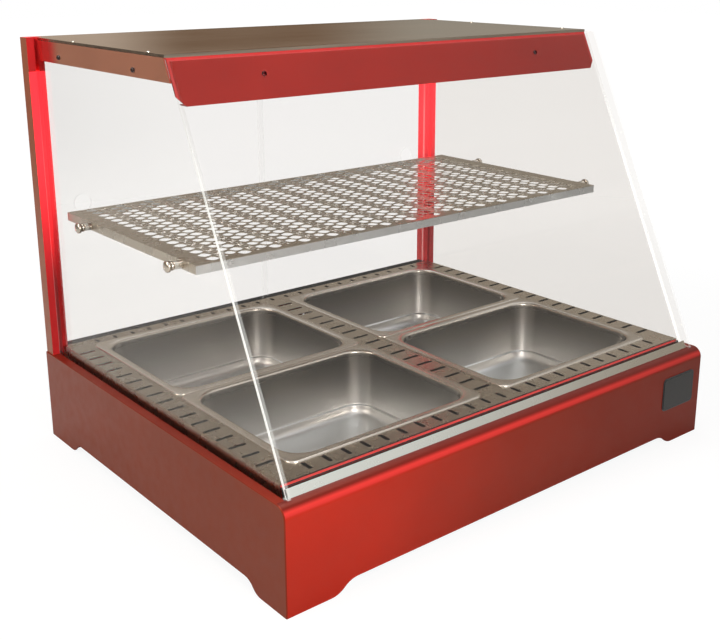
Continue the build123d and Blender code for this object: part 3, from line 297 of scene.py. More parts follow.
def footprint(node_name):
    """The middle and the half sizes of a node seen from above, in mm."""
    low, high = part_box(node_name)
    middle = ((low.x + high.x) / 2 / MM, (low.y + high.y) / 2 / MM - FRONT_Y)
    return middle, ((high.x - low.x) / 2 / MM, (high.y - low.y) / 2 / MM)


# Nodes of a shader

def new_tree(name):
    material = bpy.data.materials.new(name)
    material.use_nodes = True
    tree = material.node_tree
    tree.nodes.clear()
    return material, tree


def node(tree, kind, **values):
    """A shader node with its properties or, by name, its sockets' constants set."""
    made = tree.nodes.new(kind)
    for key, value in values.items():
        if key in made.inputs:
            made.inputs[key].default_value = value
        else:
            setattr(made, key, value)
    return made


def feed(tree, socket, value):
    """Link an output to a socket, or set the socket to a number or a colour."""
    if isinstance(value, bpy.types.NodeSocket):
        tree.links.new(value, socket)
    else:
        socket.default_value = (*value, 1) if socket.type == "RGBA" else value


def close(tree, shader, kind="ShaderNodeOutputMaterial"):
    tree.links.new(shader, node(tree, kind).inputs["Surface"])


def math_of(tree, operation, *values, clamp=False):
    """A number worked out from outputs and numbers."""
    made = node(tree, "ShaderNodeMath", operation=operation, use_clamp=clamp)
    for socket, value in zip(made.inputs, values):
        feed(tree, socket, value)
    return made.outputs[0]


def parts_of(tree, vector):
    """The parts of a vector along X, Y and Z."""
    made = node(tree, "ShaderNodeSeparateXYZ")
    tree.links.new(vector, made.inputs[0])
    return made.outputs


def spot(tree):
    """The place in the case's own frame, in metres."""
    return node(tree, "ShaderNodeTexCoord").outputs["Object"]


def facing(tree, normal="Normal"):
    """How far a face looks right, back and up."""
    return parts_of(tree, node(tree, "ShaderNodeNewGeometry").outputs[normal])


def ramped(tree, value, levels, results=(0.0, 1.0), smooth=True):
    """A number that goes between two results as another goes between two levels."""
    made = node(tree, "ShaderNodeMapRange",
                interpolation_type="SMOOTHSTEP" if smooth else "LINEAR")
    for key, number in zip(("From Min", "From Max", "To Min", "To Max"), (*levels, *results)):
        made.inputs[key].default_value = number
    tree.links.new(value, made.inputs["Value"])
    return made.outputs["Result"]


def mixed(tree, share, first, second):
    """Two colours mixed, by the share of the second."""
    made = node(tree, "ShaderNodeMix", data_type="RGBA")
    for key, value in (("Factor", share), (MIX_FIRST, first), (MIX_SECOND, second)):
        feed(tree, made.inputs[key], value)
    return made.outputs[MIX_RESULT]


def mixed_shaders(tree, share, first, second):
    made = node(tree, "ShaderNodeMixShader")
    for socket, value in zip(made.inputs, (share, first, second)):
        tree.links.new(value, socket)
    return made.outputs[0]


def blend_by(tree, value, levels, before, after):
    """Two colours, the second taking over as a number goes between two levels."""
    return mixed(tree, ramped(tree, value, levels), before, after)


def seen_directly(tree):
    """1 where a ray comes from the camera or through glass."""
    path = node(tree, "ShaderNodeLightPath")
    return math_of(tree, "MAXIMUM", path.outputs["Is Camera Ray"],
                   path.outputs["Is Transmission Ray"])


# Camera, lamps, floor

def add_camera():
    data = bpy.data.cameras.new("camera")
    data.sensor_width = CAMERA_SENSOR
    data.lens = CAMERA_LENS
    data.shift_x, data.shift_y = CAMERA_SHIFT
    camera = bpy.data.objects.new("camera", data)
    azimuth, elevation, roll = (
        math.radians(a) for a in (CAMERA_AZIMUTH, CAMERA_ELEVATION, CAMERA_ROLL))
    back = Vector((math.sin(azimuth) * math.cos(elevation),
                   -math.cos(azimuth) * math.cos(elevation), math.sin(elevation)))
    level = Vector((math.cos(azimuth), math.sin(azimuth), 0))
    upward = back.cross(level)
    right = level * math.cos(roll) + upward * math.sin(roll)
    up = upward * math.cos(roll) - level * math.sin(roll)
    turn = Matrix((right, up, back)).transposed().to_4x4()
    camera.matrix_world = Matrix.Translation(CAMERA_AT) @ turn
    bpy.context.collection.objects.link(camera)
    bpy.context.scene.camera = camera


def add_lamps():
    for name, (at, target, size, power, colour, mirrored) in LAMPS.items():
        data = bpy.data.lights.new(name, "AREA")
        data.shape = "RECTANGLE"
        data.size, data.size_y = size
        data.energy = power
        data.color = colour
        lamp = bpy.data.objects.new(name, data)
        lamp.location = at
        lamp.rotation_euler = (Vector(target) - Vector(at)).to_track_quat("-Z", "Y").to_euler()
        lamp.visible_camera = False
        lamp.visible_glossy = mirrored
        bpy.context.collection.objects.link(lamp)


def add_world():
    """White for what is seen straight on, a soft studio for reflections, a low even fill."""
    world = bpy.data.worlds.new("studio")
    bpy.context.scene.world = world
    world.use_nodes = True
    tree = world.node_tree
    tree.nodes.clear()
    way = parts_of(tree, node(tree, "ShaderNodeTexCoord").outputs["Generated"])
    high = blend_by(tree, way[X], LEFT_TO_RIGHT, STUDIO_LEFT, STUDIO_RIGHT)
    near = blend_by(tree, way[X], ROOM_TO_DOORWAY, STUDIO_ROOM, STUDIO_DOORWAY)
    low = blend_by(tree, way[X], DOORWAY_TO_WALL, near, STUDIO_WALL)
    back = blend_by(tree, way[Z], LOW_TO_HIGH, low, high)
    sides = blend_by(tree, way[Y], FRONT_TO_BACK, STUDIO_FRONT, back)
    studio = node(tree, "ShaderNodeBackground")
    tree.links.new(blend_by(tree, way[Z], SIDES_TO_TOP, sides, STUDIO_TOP),
                   studio.inputs["Color"])
    ambient = node(tree, "ShaderNodeBackground", Color=(*AMBIENT_TINT, 1), Strength=AMBIENT)
    backdrop = node(tree, "ShaderNodeBackground", Color=(1, 1, 1, 1))
    path = node(tree, "ShaderNodeLightPath")
    lit = mixed_shaders(tree, path.outputs["Is Glossy Ray"], ambient.outputs[0],
                        studio.outputs[0])
    close(tree, mixed_shaders(tree, seen_directly(tree), lit, backdrop.outputs[0]),
          "ShaderNodeOutputWorld")


def add_floor():
    """A pale matt floor, whiter further out where it is seen straight on."""
    material, tree = new_tree("floor")
    path = node(tree, "ShaderNodeLightPath")
    matt = node(tree, "ShaderNodeBsdfDiffuse")
    tree.links.new(mixed(tree, path.outputs["Is Diffuse Ray"], FLOOR_TONE, FLOOR_BOUNCE),
                   matt.inputs["Color"])
    white = node(tree, "ShaderNodeEmission", Strength=FLOOR_WHITE)
    reach = node(tree, "ShaderNodeVectorMath", operation="LENGTH")
    tree.links.new(spot(tree), reach.inputs[0])
    glow = ramped(tree, reach.outputs["Value"], FLOOR_FADE, FLOOR_SHARE)
    share = math_of(tree, "MULTIPLY", seen_directly(tree), glow)
    close(tree, mixed_shaders(tree, share, matt.outputs[0], white.outputs[0]))
    mesh = bpy.data.meshes.new("floor")
    half = FLOOR_HALF
    mesh.from_pydata([(-half, -half, 0), (half, -half, 0), (half, half, 0), (-half, half, 0)],
                     [], [(0, 1, 2, 3)])
    mesh.materials.append(material)
    floor = bpy.data.objects.new("floor", mesh)
    bpy.context.collection.objects.link(floor)


# Materials

def noise(tree, size, detail, roughness=0.5, stretch=(1, 1, 1)):
    mapping = node(tree, "ShaderNodeMapping", Scale=stretch)
    tree.links.new(spot(tree), mapping.inputs["Vector"])
    texture = node(tree, "ShaderNodeTexNoise", Scale=size, Detail=detail, Roughness=roughness)
    tree.links.new(mapping.outputs[0], texture.inputs["Vector"])
    return texture.outputs["Fac"]


def between(tree, factor, low, high):
    """A ramp from one colour to another over a noise's useful values."""
    ramp = node(tree, "ShaderNodeValToRGB")
    for stop, at, colour in zip(ramp.color_ramp.elements, NOISE_RANGE, (low, high)):
        stop.position = at
        stop.color = (*colour, 1)
    tree.links.new(factor, ramp.inputs["Fac"])
    return ramp.outputs["Color"]


def uneven(tree, factor, colour, share):
    """A colour that falls to a share of itself where a noise is low."""
    return between(tree, factor, [share * part for part in colour], colour)


def span(tree, factor, results):
    """A number that goes between two results over a noise's useful values."""
    return ramped(tree, factor, NOISE_RANGE, results, smooth=False)


def bump(tree, height, strength, distance):
    made = node(tree, "ShaderNodeBump", Strength=strength, Distance=distance)
    tree.links.new(height, made.inputs["Height"])
    return made


def surface(tree, **constants):
    """A Principled shader on the material's output, with constants on its sockets."""
    shader = node(tree, "ShaderNodeBsdfPrincipled")
    for key, value in constants.items():
        socket = key.replace("_", " ").title().replace("Ior", "IOR")
        feed(tree, shader.inputs[socket], value)
    close(tree, shader.outputs[0])
    return shader


def inside_case(tree, limit):
    """1 nearer to the middle than a distance to the left or right, and 0 beyond it."""
    size = math_of(tree, "ABSOLUTE", parts_of(tree, spot(tree))[X])
    return math_of(tree, "LESS_THAN", size, limit)


def glow_share(tree, axis, limit, levels, inner=None, end=None):
    """Where a painted glow shows: 1 above a height on faces whose normal passes a limit on an axis,
    and 0 elsewhere.

    Faces nearer to the middle than inner count too, unless they look back, and it stops again
    above end.
    """
    way = facing(tree, "True Normal")
    height = parts_of(tree, spot(tree))[Z]
    faces = math_of(tree, "LESS_THAN" if limit < 0 else "GREATER_THAN", way[axis], limit)
    if inner:
        not_rear = math_of(tree, "LESS_THAN", way[Y], LOOKS_BACK)
        groove = math_of(tree, "MULTIPLY", not_rear, inside_case(tree, inner))
        faces = math_of(tree, "MAXIMUM", faces, groove)
    if end:
        faces = math_of(tree, "MULTIPLY", faces, math_of(tree, "LESS_THAN", height, end))
    return math_of(tree, "MULTIPLY", faces, ramped(tree, height, levels))


def painted_edge_highlight(tree, tone, colour, reach, height):
    """A tone with a painted highlight: another colour further out than a reach, and above a height.
    """
    above = math_of(tree, "GREATER_THAN", parts_of(tree, spot(tree))[Z], height)
    outside = math_of(tree, "SUBTRACT", 1.0, inside_case(tree, reach))
    return mixed(tree, math_of(tree, "MAXIMUM", above, outside), tone, colour)


def paint(name, colour, side, flat=False, right=None, top=None, rear=None, hem_highlight=None,
          glow=None):
    """Gloss powder coat: slight orange peel, faint mottling, browner painted shade on faces seen at
    the side.

    Its colour may change by painted light and shade: painted shade to the right, a painted
    highlight and then painted shade on the round at its top, painted red light at the rear of the
    side faces, and a painted highlight near the outer and top edges (see painted_edge_highlight). A
    flat sheet uses its faces' own normals, and a glow, painted light on a part that is no lamp,
    says its strength and colour and where it is (see glow_share).
    """
    material, tree = new_tree(name)
    shader = surface(tree, coat_weight=0.03, coat_roughness=0.1, coat_ior=1.4,
                     specular_ior_level=0.4, specular_tint=(1.0, 0.36, 0.19))
    normal = "True Normal" if flat else "Normal"
    mottle = noise(tree, *MOTTLE)
    front, painted_side_shade = (uneven(tree, mottle, shade, MOTTLED) for shade in (colour, side))
    # Painted red light at the rear of the side faces
    if rear:
        depth = parts_of(tree, spot(tree))[Y]
        painted_side_shade = blend_by(tree, depth, rear["levels"], painted_side_shade, rear["colour"])
    # Painted highlight near the outer and top edges
    if hem_highlight:
        front = painted_edge_highlight(tree, front, **hem_highlight)
    # Painted shade towards the right
    if right:
        across = parts_of(tree, spot(tree))[X]
        front = blend_by(tree, across, PANEL_SHADE_TO_RIGHT, front,
                         uneven(tree, mottle, right, MOTTLED))
    # A painted highlight and then painted shade higher on the round
    if top:
        upward = facing(tree)[Z]
        front = blend_by(tree, upward, TO_HIGHLIGHT, front, top["painted_highlight"])
        front = blend_by(tree, upward, TO_CREST_SHADE, front, top["painted_crest_shade"])
    # Painted shade on faces that look to a side; the posts' grooves take the painted glow instead
    side_shade_share = ramped(tree, math_of(tree, "ABSOLUTE", facing(tree, normal)[X]), TO_SIDE_SHADE)
    if glow and "inner" in glow:
        side_shade_share = math_of(tree, "SUBTRACT", side_shade_share, inside_case(tree, glow["inner"]),
                              clamp=True)
    tree.links.new(mixed(tree, side_shade_share, front, painted_side_shade), shader.inputs["Base Color"])
    tree.links.new(span(tree, noise(tree, *PAINT_GLOSS), PAINT_ROUGH), shader.inputs["Roughness"])
    peeled = bump(tree, noise(tree, *PEEL), *PEEL_BUMP)
    if flat:
        geometry = node(tree, "ShaderNodeNewGeometry")
        tree.links.new(geometry.outputs[normal], peeled.inputs["Normal"])
    for socket in ("Normal", "Coat Normal"):
        tree.links.new(peeled.outputs["Normal"], shader.inputs[socket])
    # Painted glow, on a part that is no lamp
    if glow:
        where = {key: value for key, value in glow.items() if key not in ("strength", "colour")}
        feed(tree, shader.inputs["Emission Color"], glow["colour"])
        feed(tree, shader.inputs["Emission Strength"],
             math_of(tree, "MULTIPLY", glow_share(tree, **where), glow["strength"]))
    return material


def brushed(name, colour, dark, stretch, rough):
    """Brushed stainless steel: long fine streaks along the axis whose stretch is small."""
    material, tree = new_tree(name)
    shader = surface(tree, metallic=1.0)
    streaks = noise(tree, *STREAKS, stretch=stretch)
    clouds = math_of(tree, "MULTIPLY", noise(tree, *BRUSHED_CLOUDS), CLOUD_SHARE)
    tone = math_of(tree, "MULTIPLY_ADD", streaks, STREAK_SHARE, clouds)
    tree.links.new(between(tree, tone, dark, colour), shader.inputs["Base Color"])
    tree.links.new(span(tree, tone, rough), shader.inputs["Roughness"])
    tree.links.new(bump(tree, streaks, *STREAK_BUMP).outputs[0], shader.inputs["Normal"])
    return material


def satin(name, colour, dark, right=None):
    """Fine satin steel: faint clouds in tone and gloss, hardly any grain, and a painted reflection
    that turns it to another tone towards the right.
    """
    material, tree = new_tree(name)
    shader = surface(tree, metallic=1.0)
    clouds = noise(tree, *SATIN_CLOUDS)
    tone = between(tree, clouds, dark, colour)
    if right:
        tone = blend_by(tree, parts_of(tree, spot(tree))[X], STEEL_REFLECTION_TO_RIGHT, tone,
                        uneven(tree, clouds, right, CLOUDED))
    tree.links.new(tone, shader.inputs["Base Color"])
    tree.links.new(span(tree, noise(tree, *SATIN_GLOSS), SATIN_ROUGH),
                   shader.inputs["Roughness"])
    return material


def drawn_steel(name, rim, wall, foot, floor, heights):
    """Pan steel: satin, its walls painted darker at the top and lighter downwards, and its floor
    duller and painted lightest, as painted shade and light.

    The heights are those of the rim, of the walls' top and of their foot, in metres.
    """
    material, tree = new_tree(name)
    shader = surface(tree, metallic=1.0)
    top, under, bottom = heights
    height = parts_of(tree, spot(tree))[Z]
    walls = blend_by(tree, height, (bottom, under), foot, wall)
    inside = blend_by(tree, facing(tree)[Z], TO_PAN_FLOOR_LIGHT, walls, floor)
    tree.links.new(blend_by(tree, height, (under, top), inside, rim),
                   shader.inputs["Base Color"])
    tree.links.new(ramped(tree, height, (bottom, under), PAN_ROUGH, smooth=False),
                   shader.inputs["Roughness"])
    return material


def plain(name, colour, dark, rough, metallic=0.0, grain=700.0, depth=0.15):
    """Moulded plastic, rubber or plain metal with a fine grain."""
    material, tree = new_tree(name)
    shader = surface(tree, metallic=metallic)
    clouds = noise(tree, *PLAIN_CLOUDS)
    grains = bump(tree, noise(tree, grain, GRAIN_DETAIL), depth, GRAIN_HEIGHT)
    tree.links.new(between(tree, clouds, dark, colour), shader.inputs["Base Color"])
    tree.links.new(span(tree, clouds, [rough * share for share in PLAIN_SPREAD]),
                   shader.inputs["Roughness"])
    tree.links.new(grains.outputs[0], shader.inputs["Normal"])
    return material


def pane_glass(name, tint, plane, edge):
    """Clear sheet glass: faint tint, mirror reflections by angle, and pale ground edges that glow
    as painted light, fading out above a height.
    """
    material, tree = new_tree(name)
    normal = node(tree, "ShaderNodeNewGeometry").outputs["True Normal"]
    clear = node(tree, "ShaderNodeBsdfTransparent", Color=(*tint, 1))
    mirror = node(tree, "ShaderNodeBsdfGlossy", Roughness=0.0)
    tree.links.new(normal, mirror.inputs["Normal"])
    weight = node(tree, "ShaderNodeLayerWeight", Blend=0.5)
    tree.links.new(normal, weight.inputs["Normal"])
    angle = math_of(tree, "POWER", weight.outputs["Facing"], MIRROR_POWER)
    share = math_of(tree, "MULTIPLY_ADD", angle, MIRROR_GAIN, MIRROR_LEAST)
    pane = mixed_shaders(tree, share, clear.outputs[0], mirror.outputs[0])
    # Pale ground edges with a painted glow that fades out above a height
    ground = node(tree, "ShaderNodeBsdfPrincipled", Roughness=EDGE_ROUGH)
    for key, value in (("Base Color", EDGE_COLOUR), ("Emission Color", EDGE_GLOW),
                       ("Emission Strength", EDGE_STRENGTH)):
        feed(tree, ground.inputs[key], value)
    fade = ramped(tree, parts_of(tree, spot(tree))[Z], EDGE_FADE, (edge, EDGE_LEFT * edge))
    nothing = node(tree, "ShaderNodeBsdfTransparent")
    thin = mixed_shaders(tree, fade, nothing.outputs[0], ground.outputs[0])
    turn = node(tree, "ShaderNodeVectorMath", operation="DOT_PRODUCT")
    turn.inputs[1].default_value = plane
    tree.links.new(normal, turn.inputs[0])
    size = math_of(tree, "ABSOLUTE", turn.outputs["Value"])
    close(tree, mixed_shaders(tree, math_of(tree, "GREATER_THAN", size, PANE_FACE), thin, pane))
    return material


PANE_SLOPE = (0, -math.cos(math.radians(LEAN)), math.sin(math.radians(LEAN)))
POST_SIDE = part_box("rear_post_right")[1].x - POST_SKIN
FASCIA_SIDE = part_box("fascia")[1].x - FASCIA_HEM
FASCIA_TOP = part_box("fascia")[1].z - FASCIA_HEM
# One red paint in lit and shaded copies, by painted light and shade: browner painted shade on faces
# seen at the side, a darker copy on the side panels, a lighter-brown painted reflection on the
# rails, brighter copies with a painted glow on the posts and the lip, and on the front panel and
# the fascia painted highlights and shade
SIDE_SHADE_BROWN = (0.27, 0.035, 0.010)
FRONT_RED = paint("red_paint_front", (0.60, 0.026, 0.013), SIDE_SHADE_BROWN, right=(0.30, 0.024, 0.010),
                  top=dict(painted_highlight=(0.72, 0.040, 0.036), painted_crest_shade=(0.13, 0.006, 0.004)))
RED = paint("red_paint", (0.56, 0.020, 0.010), SIDE_SHADE_BROWN, flat=True)
FASCIA_RED = paint("red_paint_fascia", (0.56, 0.016, 0.008), SIDE_SHADE_BROWN, flat=True,
                   hem_highlight=dict(colour=(0.84, 0.060, 0.062), reach=FASCIA_SIDE, height=FASCIA_TOP))
SIDE_RED = paint("red_paint_sides", (0.25, 0.020, 0.010), (0.275, 0.032, 0.005))
# The rails: a lighter-brown painted reflection on their sides that turns to painted red light at
# the rear
RAIL_RED = paint("red_paint_rails", (0.70, 0.08, 0.05), (0.67, 0.30, 0.20), flat=True,
                 rear=dict(colour=(0.80, 0.03, 0.03), levels=(0.225, 0.262)))
# The posts: a brighter copy with a painted glow on their front and groove faces
POST_RED = paint("red_paint_posts", (1.0, 0.040, 0.050), (0.44, 0.14, 0.075), flat=True,
                 glow=dict(strength=1.1, colour=(1.0, 0.035, 0.050), axis=Y, limit=-0.8,
                           levels=(0.24, 0.46), inner=POST_SIDE, end=0.572))
# The inner wall's lip: a bright copy with a painted glow on its top faces
LIP_RED = paint("red_paint_lip", (1.0, 0.075, 0.065), (0.30, 0.05, 0.02), flat=True,
                glow=dict(strength=0.38, colour=(1.0, 0.085, 0.075), axis=Z, limit=0.8,
                          levels=(0.100, 0.110)))
# Painted reflection: the deck turns lighter and the channel darker towards the right
DECK_STEEL = satin("deck_steel", (0.42, 0.362, 0.288), (0.385, 0.335, 0.268),
                   right=(0.61, 0.550, 0.460))
CHANNEL_STEEL = satin("channel_steel", (0.58, 0.60, 0.57), (0.53, 0.55, 0.52),
                      right=(0.30, 0.265, 0.215))
SHELF_STEEL = satin("shelf_steel", (0.64, 0.59, 0.51), (0.58, 0.535, 0.46))
# The shelf's front and rear flanges: a far lighter copy of the shelf steel, a painted reflection
FLANGE_LIT_STEEL = satin("flange_steel", (0.96, 0.985, 1.0), (0.93, 0.955, 0.975))
ROOF_STEEL = brushed("roof_steel", (0.72, 0.60, 0.48), (0.42, 0.33, 0.26),
                     stretch=(2, 220, 220), rough=(0.14, 0.22))
# Painted shade and light on the pans: darker walls' top, lighter foot, lightest floor
PAN_STEEL = drawn_steel("pan_steel", rim=(0.66, 0.62, 0.56), wall=(0.245, 0.232, 0.210),
                        foot=(0.62, 0.61, 0.59), floor=(0.93, 0.97, 0.99),
                        heights=(0.1525, 0.146, 0.052))
# The strands: lighter than the shelf steel, a painted highlight on top of the real highlights their
# round form catches
STRAND_STEEL = plain("strand_steel", (0.76, 0.76, 0.75), (0.60, 0.59, 0.57), 0.30, 0.5, 900, 0.05)
PLATE_FACE = plain("plate_face", (0.008, 0.009, 0.010), (0.005, 0.005, 0.006), 0.22)
PLATE_RIM = plain("plate_rim", (0.10, 0.11, 0.115), (0.07, 0.075, 0.08), 0.35, 0.6)
BRIGHT_STEEL = plain("polished_steel", (0.62, 0.57, 0.50), (0.45, 0.40, 0.34), 0.16, 1.0, 900,
                     0.05)
DARK_STEEL = plain("dark_screws", (0.05, 0.022, 0.020), (0.02, 0.010, 0.010), 0.42)
# The fascia screws: tinted red, a painted reflection of the red paint round them
RED_GLINT_SCREWS = plain("red_lit_screws", (0.10, 0.004, 0.006), (0.04, 0.002, 0.003), 0.25, 0.8)
ZINC = plain("zinc_plate", (0.55, 0.56, 0.57), (0.40, 0.41, 0.42), 0.40, 1.0, 300, 0.2)
SHEATH = plain("heater_sheath", (0.24, 0.21, 0.19), (0.13, 0.115, 0.11), 0.48, 1.0, 500, 0.3)
BLACK = plain("black_trim", (0.022, 0.021, 0.020), (0.012, 0.012, 0.012), 0.50)
CONTROL = plain("control_plastic", (0.030, 0.030, 0.031), (0.018, 0.018, 0.018), 0.32)
CERAMIC = plain("ceramic", (0.82, 0.79, 0.72), (0.70, 0.67, 0.60), 0.35)
LENS = plain("lamp_lens", (0.80, 0.22, 0.03), (0.65, 0.14, 0.02), 0.20, 0.0, 300, 0.1)
SIDE_GLASS = pane_glass("clear_glass_sides", PANE_TINT, (1, 0, 0), 0.15)
DOOR_GLASS = pane_glass("clear_glass_doors", DOOR_TINT, (0, 1, 0), 0.2)
FRONT_GLASS = pane_glass("clear_glass_front", FRONT_TINT, PANE_SLOPE, 0.85)


def finish_nodes():
    """Every node gets its material; those that the scene models again are hidden later."""
    finishes = {
        LIP_RED: ("front_inner_wall",),
        FRONT_RED: ("front_panel",),
        RED: ("rear_panel", "rear_sill", "fascia", "rear_header"),
        POST_RED: ("rear_post_left", "rear_post_right"),
        SIDE_RED: ("side_panel_left", "side_panel_right"),
        RAIL_RED: ("side_rail_left", "side_rail_right"),
        DECK_STEEL: ("deck",),
        CHANNEL_STEEL: ("glass_channel",),
        ROOF_STEEL: ("roof_panel",),
        SHELF_STEEL: ("mesh_shelf",),
        PAN_STEEL: PANS,
        FRONT_GLASS: ("front_glass",),
        SIDE_GLASS: ("side_glass_left", "side_glass_right"),
        DOOR_GLASS: ("door_left", "door_right"),
        BLACK: ("front_gasket", "lower_door_track", "upper_door_track", "cable_gland"),
        BRIGHT_STEEL: ("shelf_pins", "pin_washers"),
        DARK_STEEL: ("rail_screws", "fascia_screws"),
        SHEATH: ("heating_rod_left_outer", "heating_rod_left_inner", "heating_rod_right_inner",
                 "heating_rod_right_outer", "sensor_bulb", "thermostat_spindle"),
        ZINC: ("bottom_plate", "deck_bearer_left", "deck_bearer_right", "rod_brackets",
               "sensor_clip"),
        CONTROL: ("thermostat_body", "thermostat_knob", "switch_housing", "rocker_switch"),
        LENS: ("indicator_lamp",),
        CERAMIC: ("terminal_block",),
    }
    for material, names in finishes.items():
        for name in names:
            mesh = nodes[name].data
            mesh.materials.clear()
            mesh.materials.append(material)


# Mesh helpers

def add_piece(name, mesh, material, body, smooth_angle=None):
    mesh.materials.clear()
    mesh.materials.append(material)
    piece = bpy.data.objects.new(name, mesh)
    bpy.context.collection.objects.link(piece)
    if smooth_angle is not None:
        soften(mesh, smooth_angle)
    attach(piece, body)
    return piece


def soften(mesh, angle):
    """Smooth shading, with edges kept sharp where faces turn by more than an angle."""
    work = bmesh.new()
    work.from_mesh(mesh)
    limit = math.radians(angle)
    for face in work.faces:
        face.smooth = True
    for edge in work.edges:
        edge.smooth = len(edge.link_faces) == 2 and edge.calc_face_angle() < limit
    work.to_mesh(mesh)
    work.free()


def mesh_of(name, points, faces):
    mesh = bpy.data.meshes.new(name)
    mesh.from_pydata([tuple(p) for p in points], [], faces)
    mesh.update()
    return mesh


def joined(name, parts):
    """One mesh from several lists of points and faces."""
    points = []
    faces = []
    for part_points, part_faces in parts:
        start = len(points)
        points += part_points
        faces += [tuple(start + i for i in face) for face in part_faces]
    return mesh_of(name, points, faces)


def band(first, second, count):
    """The four-sided faces between two rings of points, by the rings' numbers."""
    faces = []
    for i in range(count):
        k = (i + 1) % count
        faces.append((first * count + i, first * count + k, second * count + k,
                      second * count + i))
    return faces


def cap(ring, count):
    """The face that fills a ring of points."""
    return tuple(range(ring * count, (ring + 1) * count))


def skin(rings, count):
    """Bands between rings that follow each other, and a cap at each end."""
    faces = [face for j in range(rings - 1) for face in band(j, j + 1, count)]
    return faces + [cap(0, count)[::-1], cap(rings - 1, count)]


def block(x0, x1, y0, y1, z0, z1):
    """Points and faces of a straight block, in mm."""
    points = [place(x, y, z) for z in (z0, z1) for x, y in ((x0, y0), (x1, y0), (x1, y1), (x0, y1))]
    faces = [(3, 2, 1, 0), (4, 5, 6, 7), (0, 1, 5, 4), (1, 2, 6, 5), (2, 3, 7, 6), (3, 0, 4, 7)]
    return points, faces


def turned(profile, origin, axis, sides):
    """Points and faces of a turned piece; the profile is (radius, height) along the axis, in mm."""
    axis = Vector(axis).normalized()
    first = axis.orthogonal().normalized()
    second = axis.cross(first)
    points = []
    for radius, height in profile:
        for i in range(sides):
            angle = 2 * math.pi * i / sides
            ring = first * math.cos(angle) + second * math.sin(angle)
            points.append(origin + (axis * height + ring * radius) * MM)
    return points, skin(len(profile), sides)


def turned_ring(profile, origin, axis, sides):
    """A turned piece whose profile closes on itself."""
    points, faces = turned(profile, origin, axis, sides)
    return points, faces[:-2] + band(len(profile) - 1, 0, sides)


def rounded_box(half_x, half_y, radius, segments):
    """The points of a rectangle with round corners, in order."""
    points = []
    for quarter, (sx, sy) in enumerate(((1, 1), (-1, 1), (-1, -1), (1, -1))):
        for i in range(segments + 1):
            angle = math.pi / 2 * (quarter + i / segments)
            points.append((sx * (half_x - radius) + radius * math.cos(angle),
                           sy * (half_y - radius) + radius * math.sin(angle)))
    return points


def slot_outline(x, y, length, width, along_x):
    """A long hole with round ends."""
    r = width / 2
    reach = length / 2 - r
    points = []
    for side in (1, -1):
        for i in range(SLOT_END + 1):
            angle = side * math.pi / 2 * (2 * i / SLOT_END - 1)
            u = side * reach + side * r * math.cos(angle)
            v = r * math.sin(angle)
            points.append((x + u, y + v) if along_x else (x - v, y + u))
    return points


def pierced_sheet(name, outline, holes, top, thickness):
    """A flat sheet with convex holes, in mm: triangles above and below, and walls all round."""
    flat = []
    edges = []
    owner = []
    for number, ring in enumerate([outline] + holes):
        start = len(flat)
        count = len(ring)
        flat += [Vector((x * MM, (y + FRONT_Y) * MM)) for x, y in ring]
        edges += [(start + i, start + (i + 1) % count) for i in range(count)]
        owner += [number] * count
    spots, _, triangles, origins, _, _ = delaunay_2d_cdt(flat, edges, [], 1, CUT_LIMIT)
    rings = [owner[origin[0]] for origin in origins]
    triangles = [t for t in triangles
                 if rings[t[0]] == 0 or len({rings[i] for i in t}) > 1]
    levels = (top * MM, (top - thickness) * MM)
    points = [(p.x, p.y, z) for z in levels for p in spots]
    total = len(spots)
    faces = [tuple(t) for t in triangles]
    faces += [tuple(total + i for i in reversed(t)) for t in triangles]
    start = len(points)
    points += [(p.x, p.y, z) for z in levels for p in flat]
    faces += [(start + i, start + j, start + len(flat) + j, start + len(flat) + i)
              for i, j in edges]
    mesh = mesh_of(name, points, faces)
    work = bmesh.new()
    work.from_mesh(mesh)
    bmesh.ops.remove_doubles(work, verts=work.verts, dist=WELD_LIMIT)
    bmesh.ops.recalc_face_normals(work, faces=work.faces)
    work.to_mesh(mesh)
    work.free()
    return mesh


# Rails and fascia

def add_behind_glass(name, node_name, material, shift):
    """A CAD node's own faces a hair behind the pane that they touch, so that both are drawn."""
    source = nodes[node_name]
    mesh = mesh_of(name, [source.matrix_world @ v.co + shift * MM for v in source.data.vertices],
                   [tuple(face.vertices) for face in source.data.polygons])
    piece = add_piece(name, mesh, material, "case")
    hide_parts(node_name)


def add_bands():
    for side, way in (("left", 1), ("right", -1)):
        add_behind_glass("folded_rail_" + side, "side_rail_" + side, RAIL_RED,
                         Vector((way * GLASS_GAP, 0, 0)))
    add_behind_glass("folded_fascia", "fascia", FASCIA_RED,
                     -Vector(PANE_SLOPE) * GLASS_GAP)


# Shelf

def lens(x, y, tip, bulge, arc_points):
    """A leaf-shaped hole: two arcs between a left and a right tip."""
    points = []
    for side in (-1, 1):
        for i in range(arc_points):
            u = side * (1 - 2 * i / arc_points)
            v = side * (1 - u * u)
            points.append((x - u * tip[0] - v * bulge[0], y - u * tip[1] - v * bulge[1]))
    return points


def column_places():
    """Middles of the wide and the narrow column of each pair."""
    return [(WIDE_COLUMN + i * PAIR_PITCH, NARROW_COLUMN + i * PAIR_PITCH)
            for i in range(COLUMNS)]


def shelf_holes():
    holes = []
    for wide, narrow in column_places():
        for j in range(WIDE_ROWS):
            y = FIRST_ROW + j * ROW_PITCH
            holes.append(lens(wide, y, *OPENING, OPENING_POINTS))
            holes.append(lens(wide + SLIT_STEPS[1], y, *SLIT, SLIT_POINTS))
            if j < WIDE_ROWS - 1:
                between_rows = y + ROW_PITCH / 2
                holes.append(lens(narrow, between_rows, *NARROW_OPENING, OPENING_POINTS))
                holes.append(lens(wide + SLIT_STEPS[0], between_rows, *SLIT, SLIT_POINTS))
    return holes


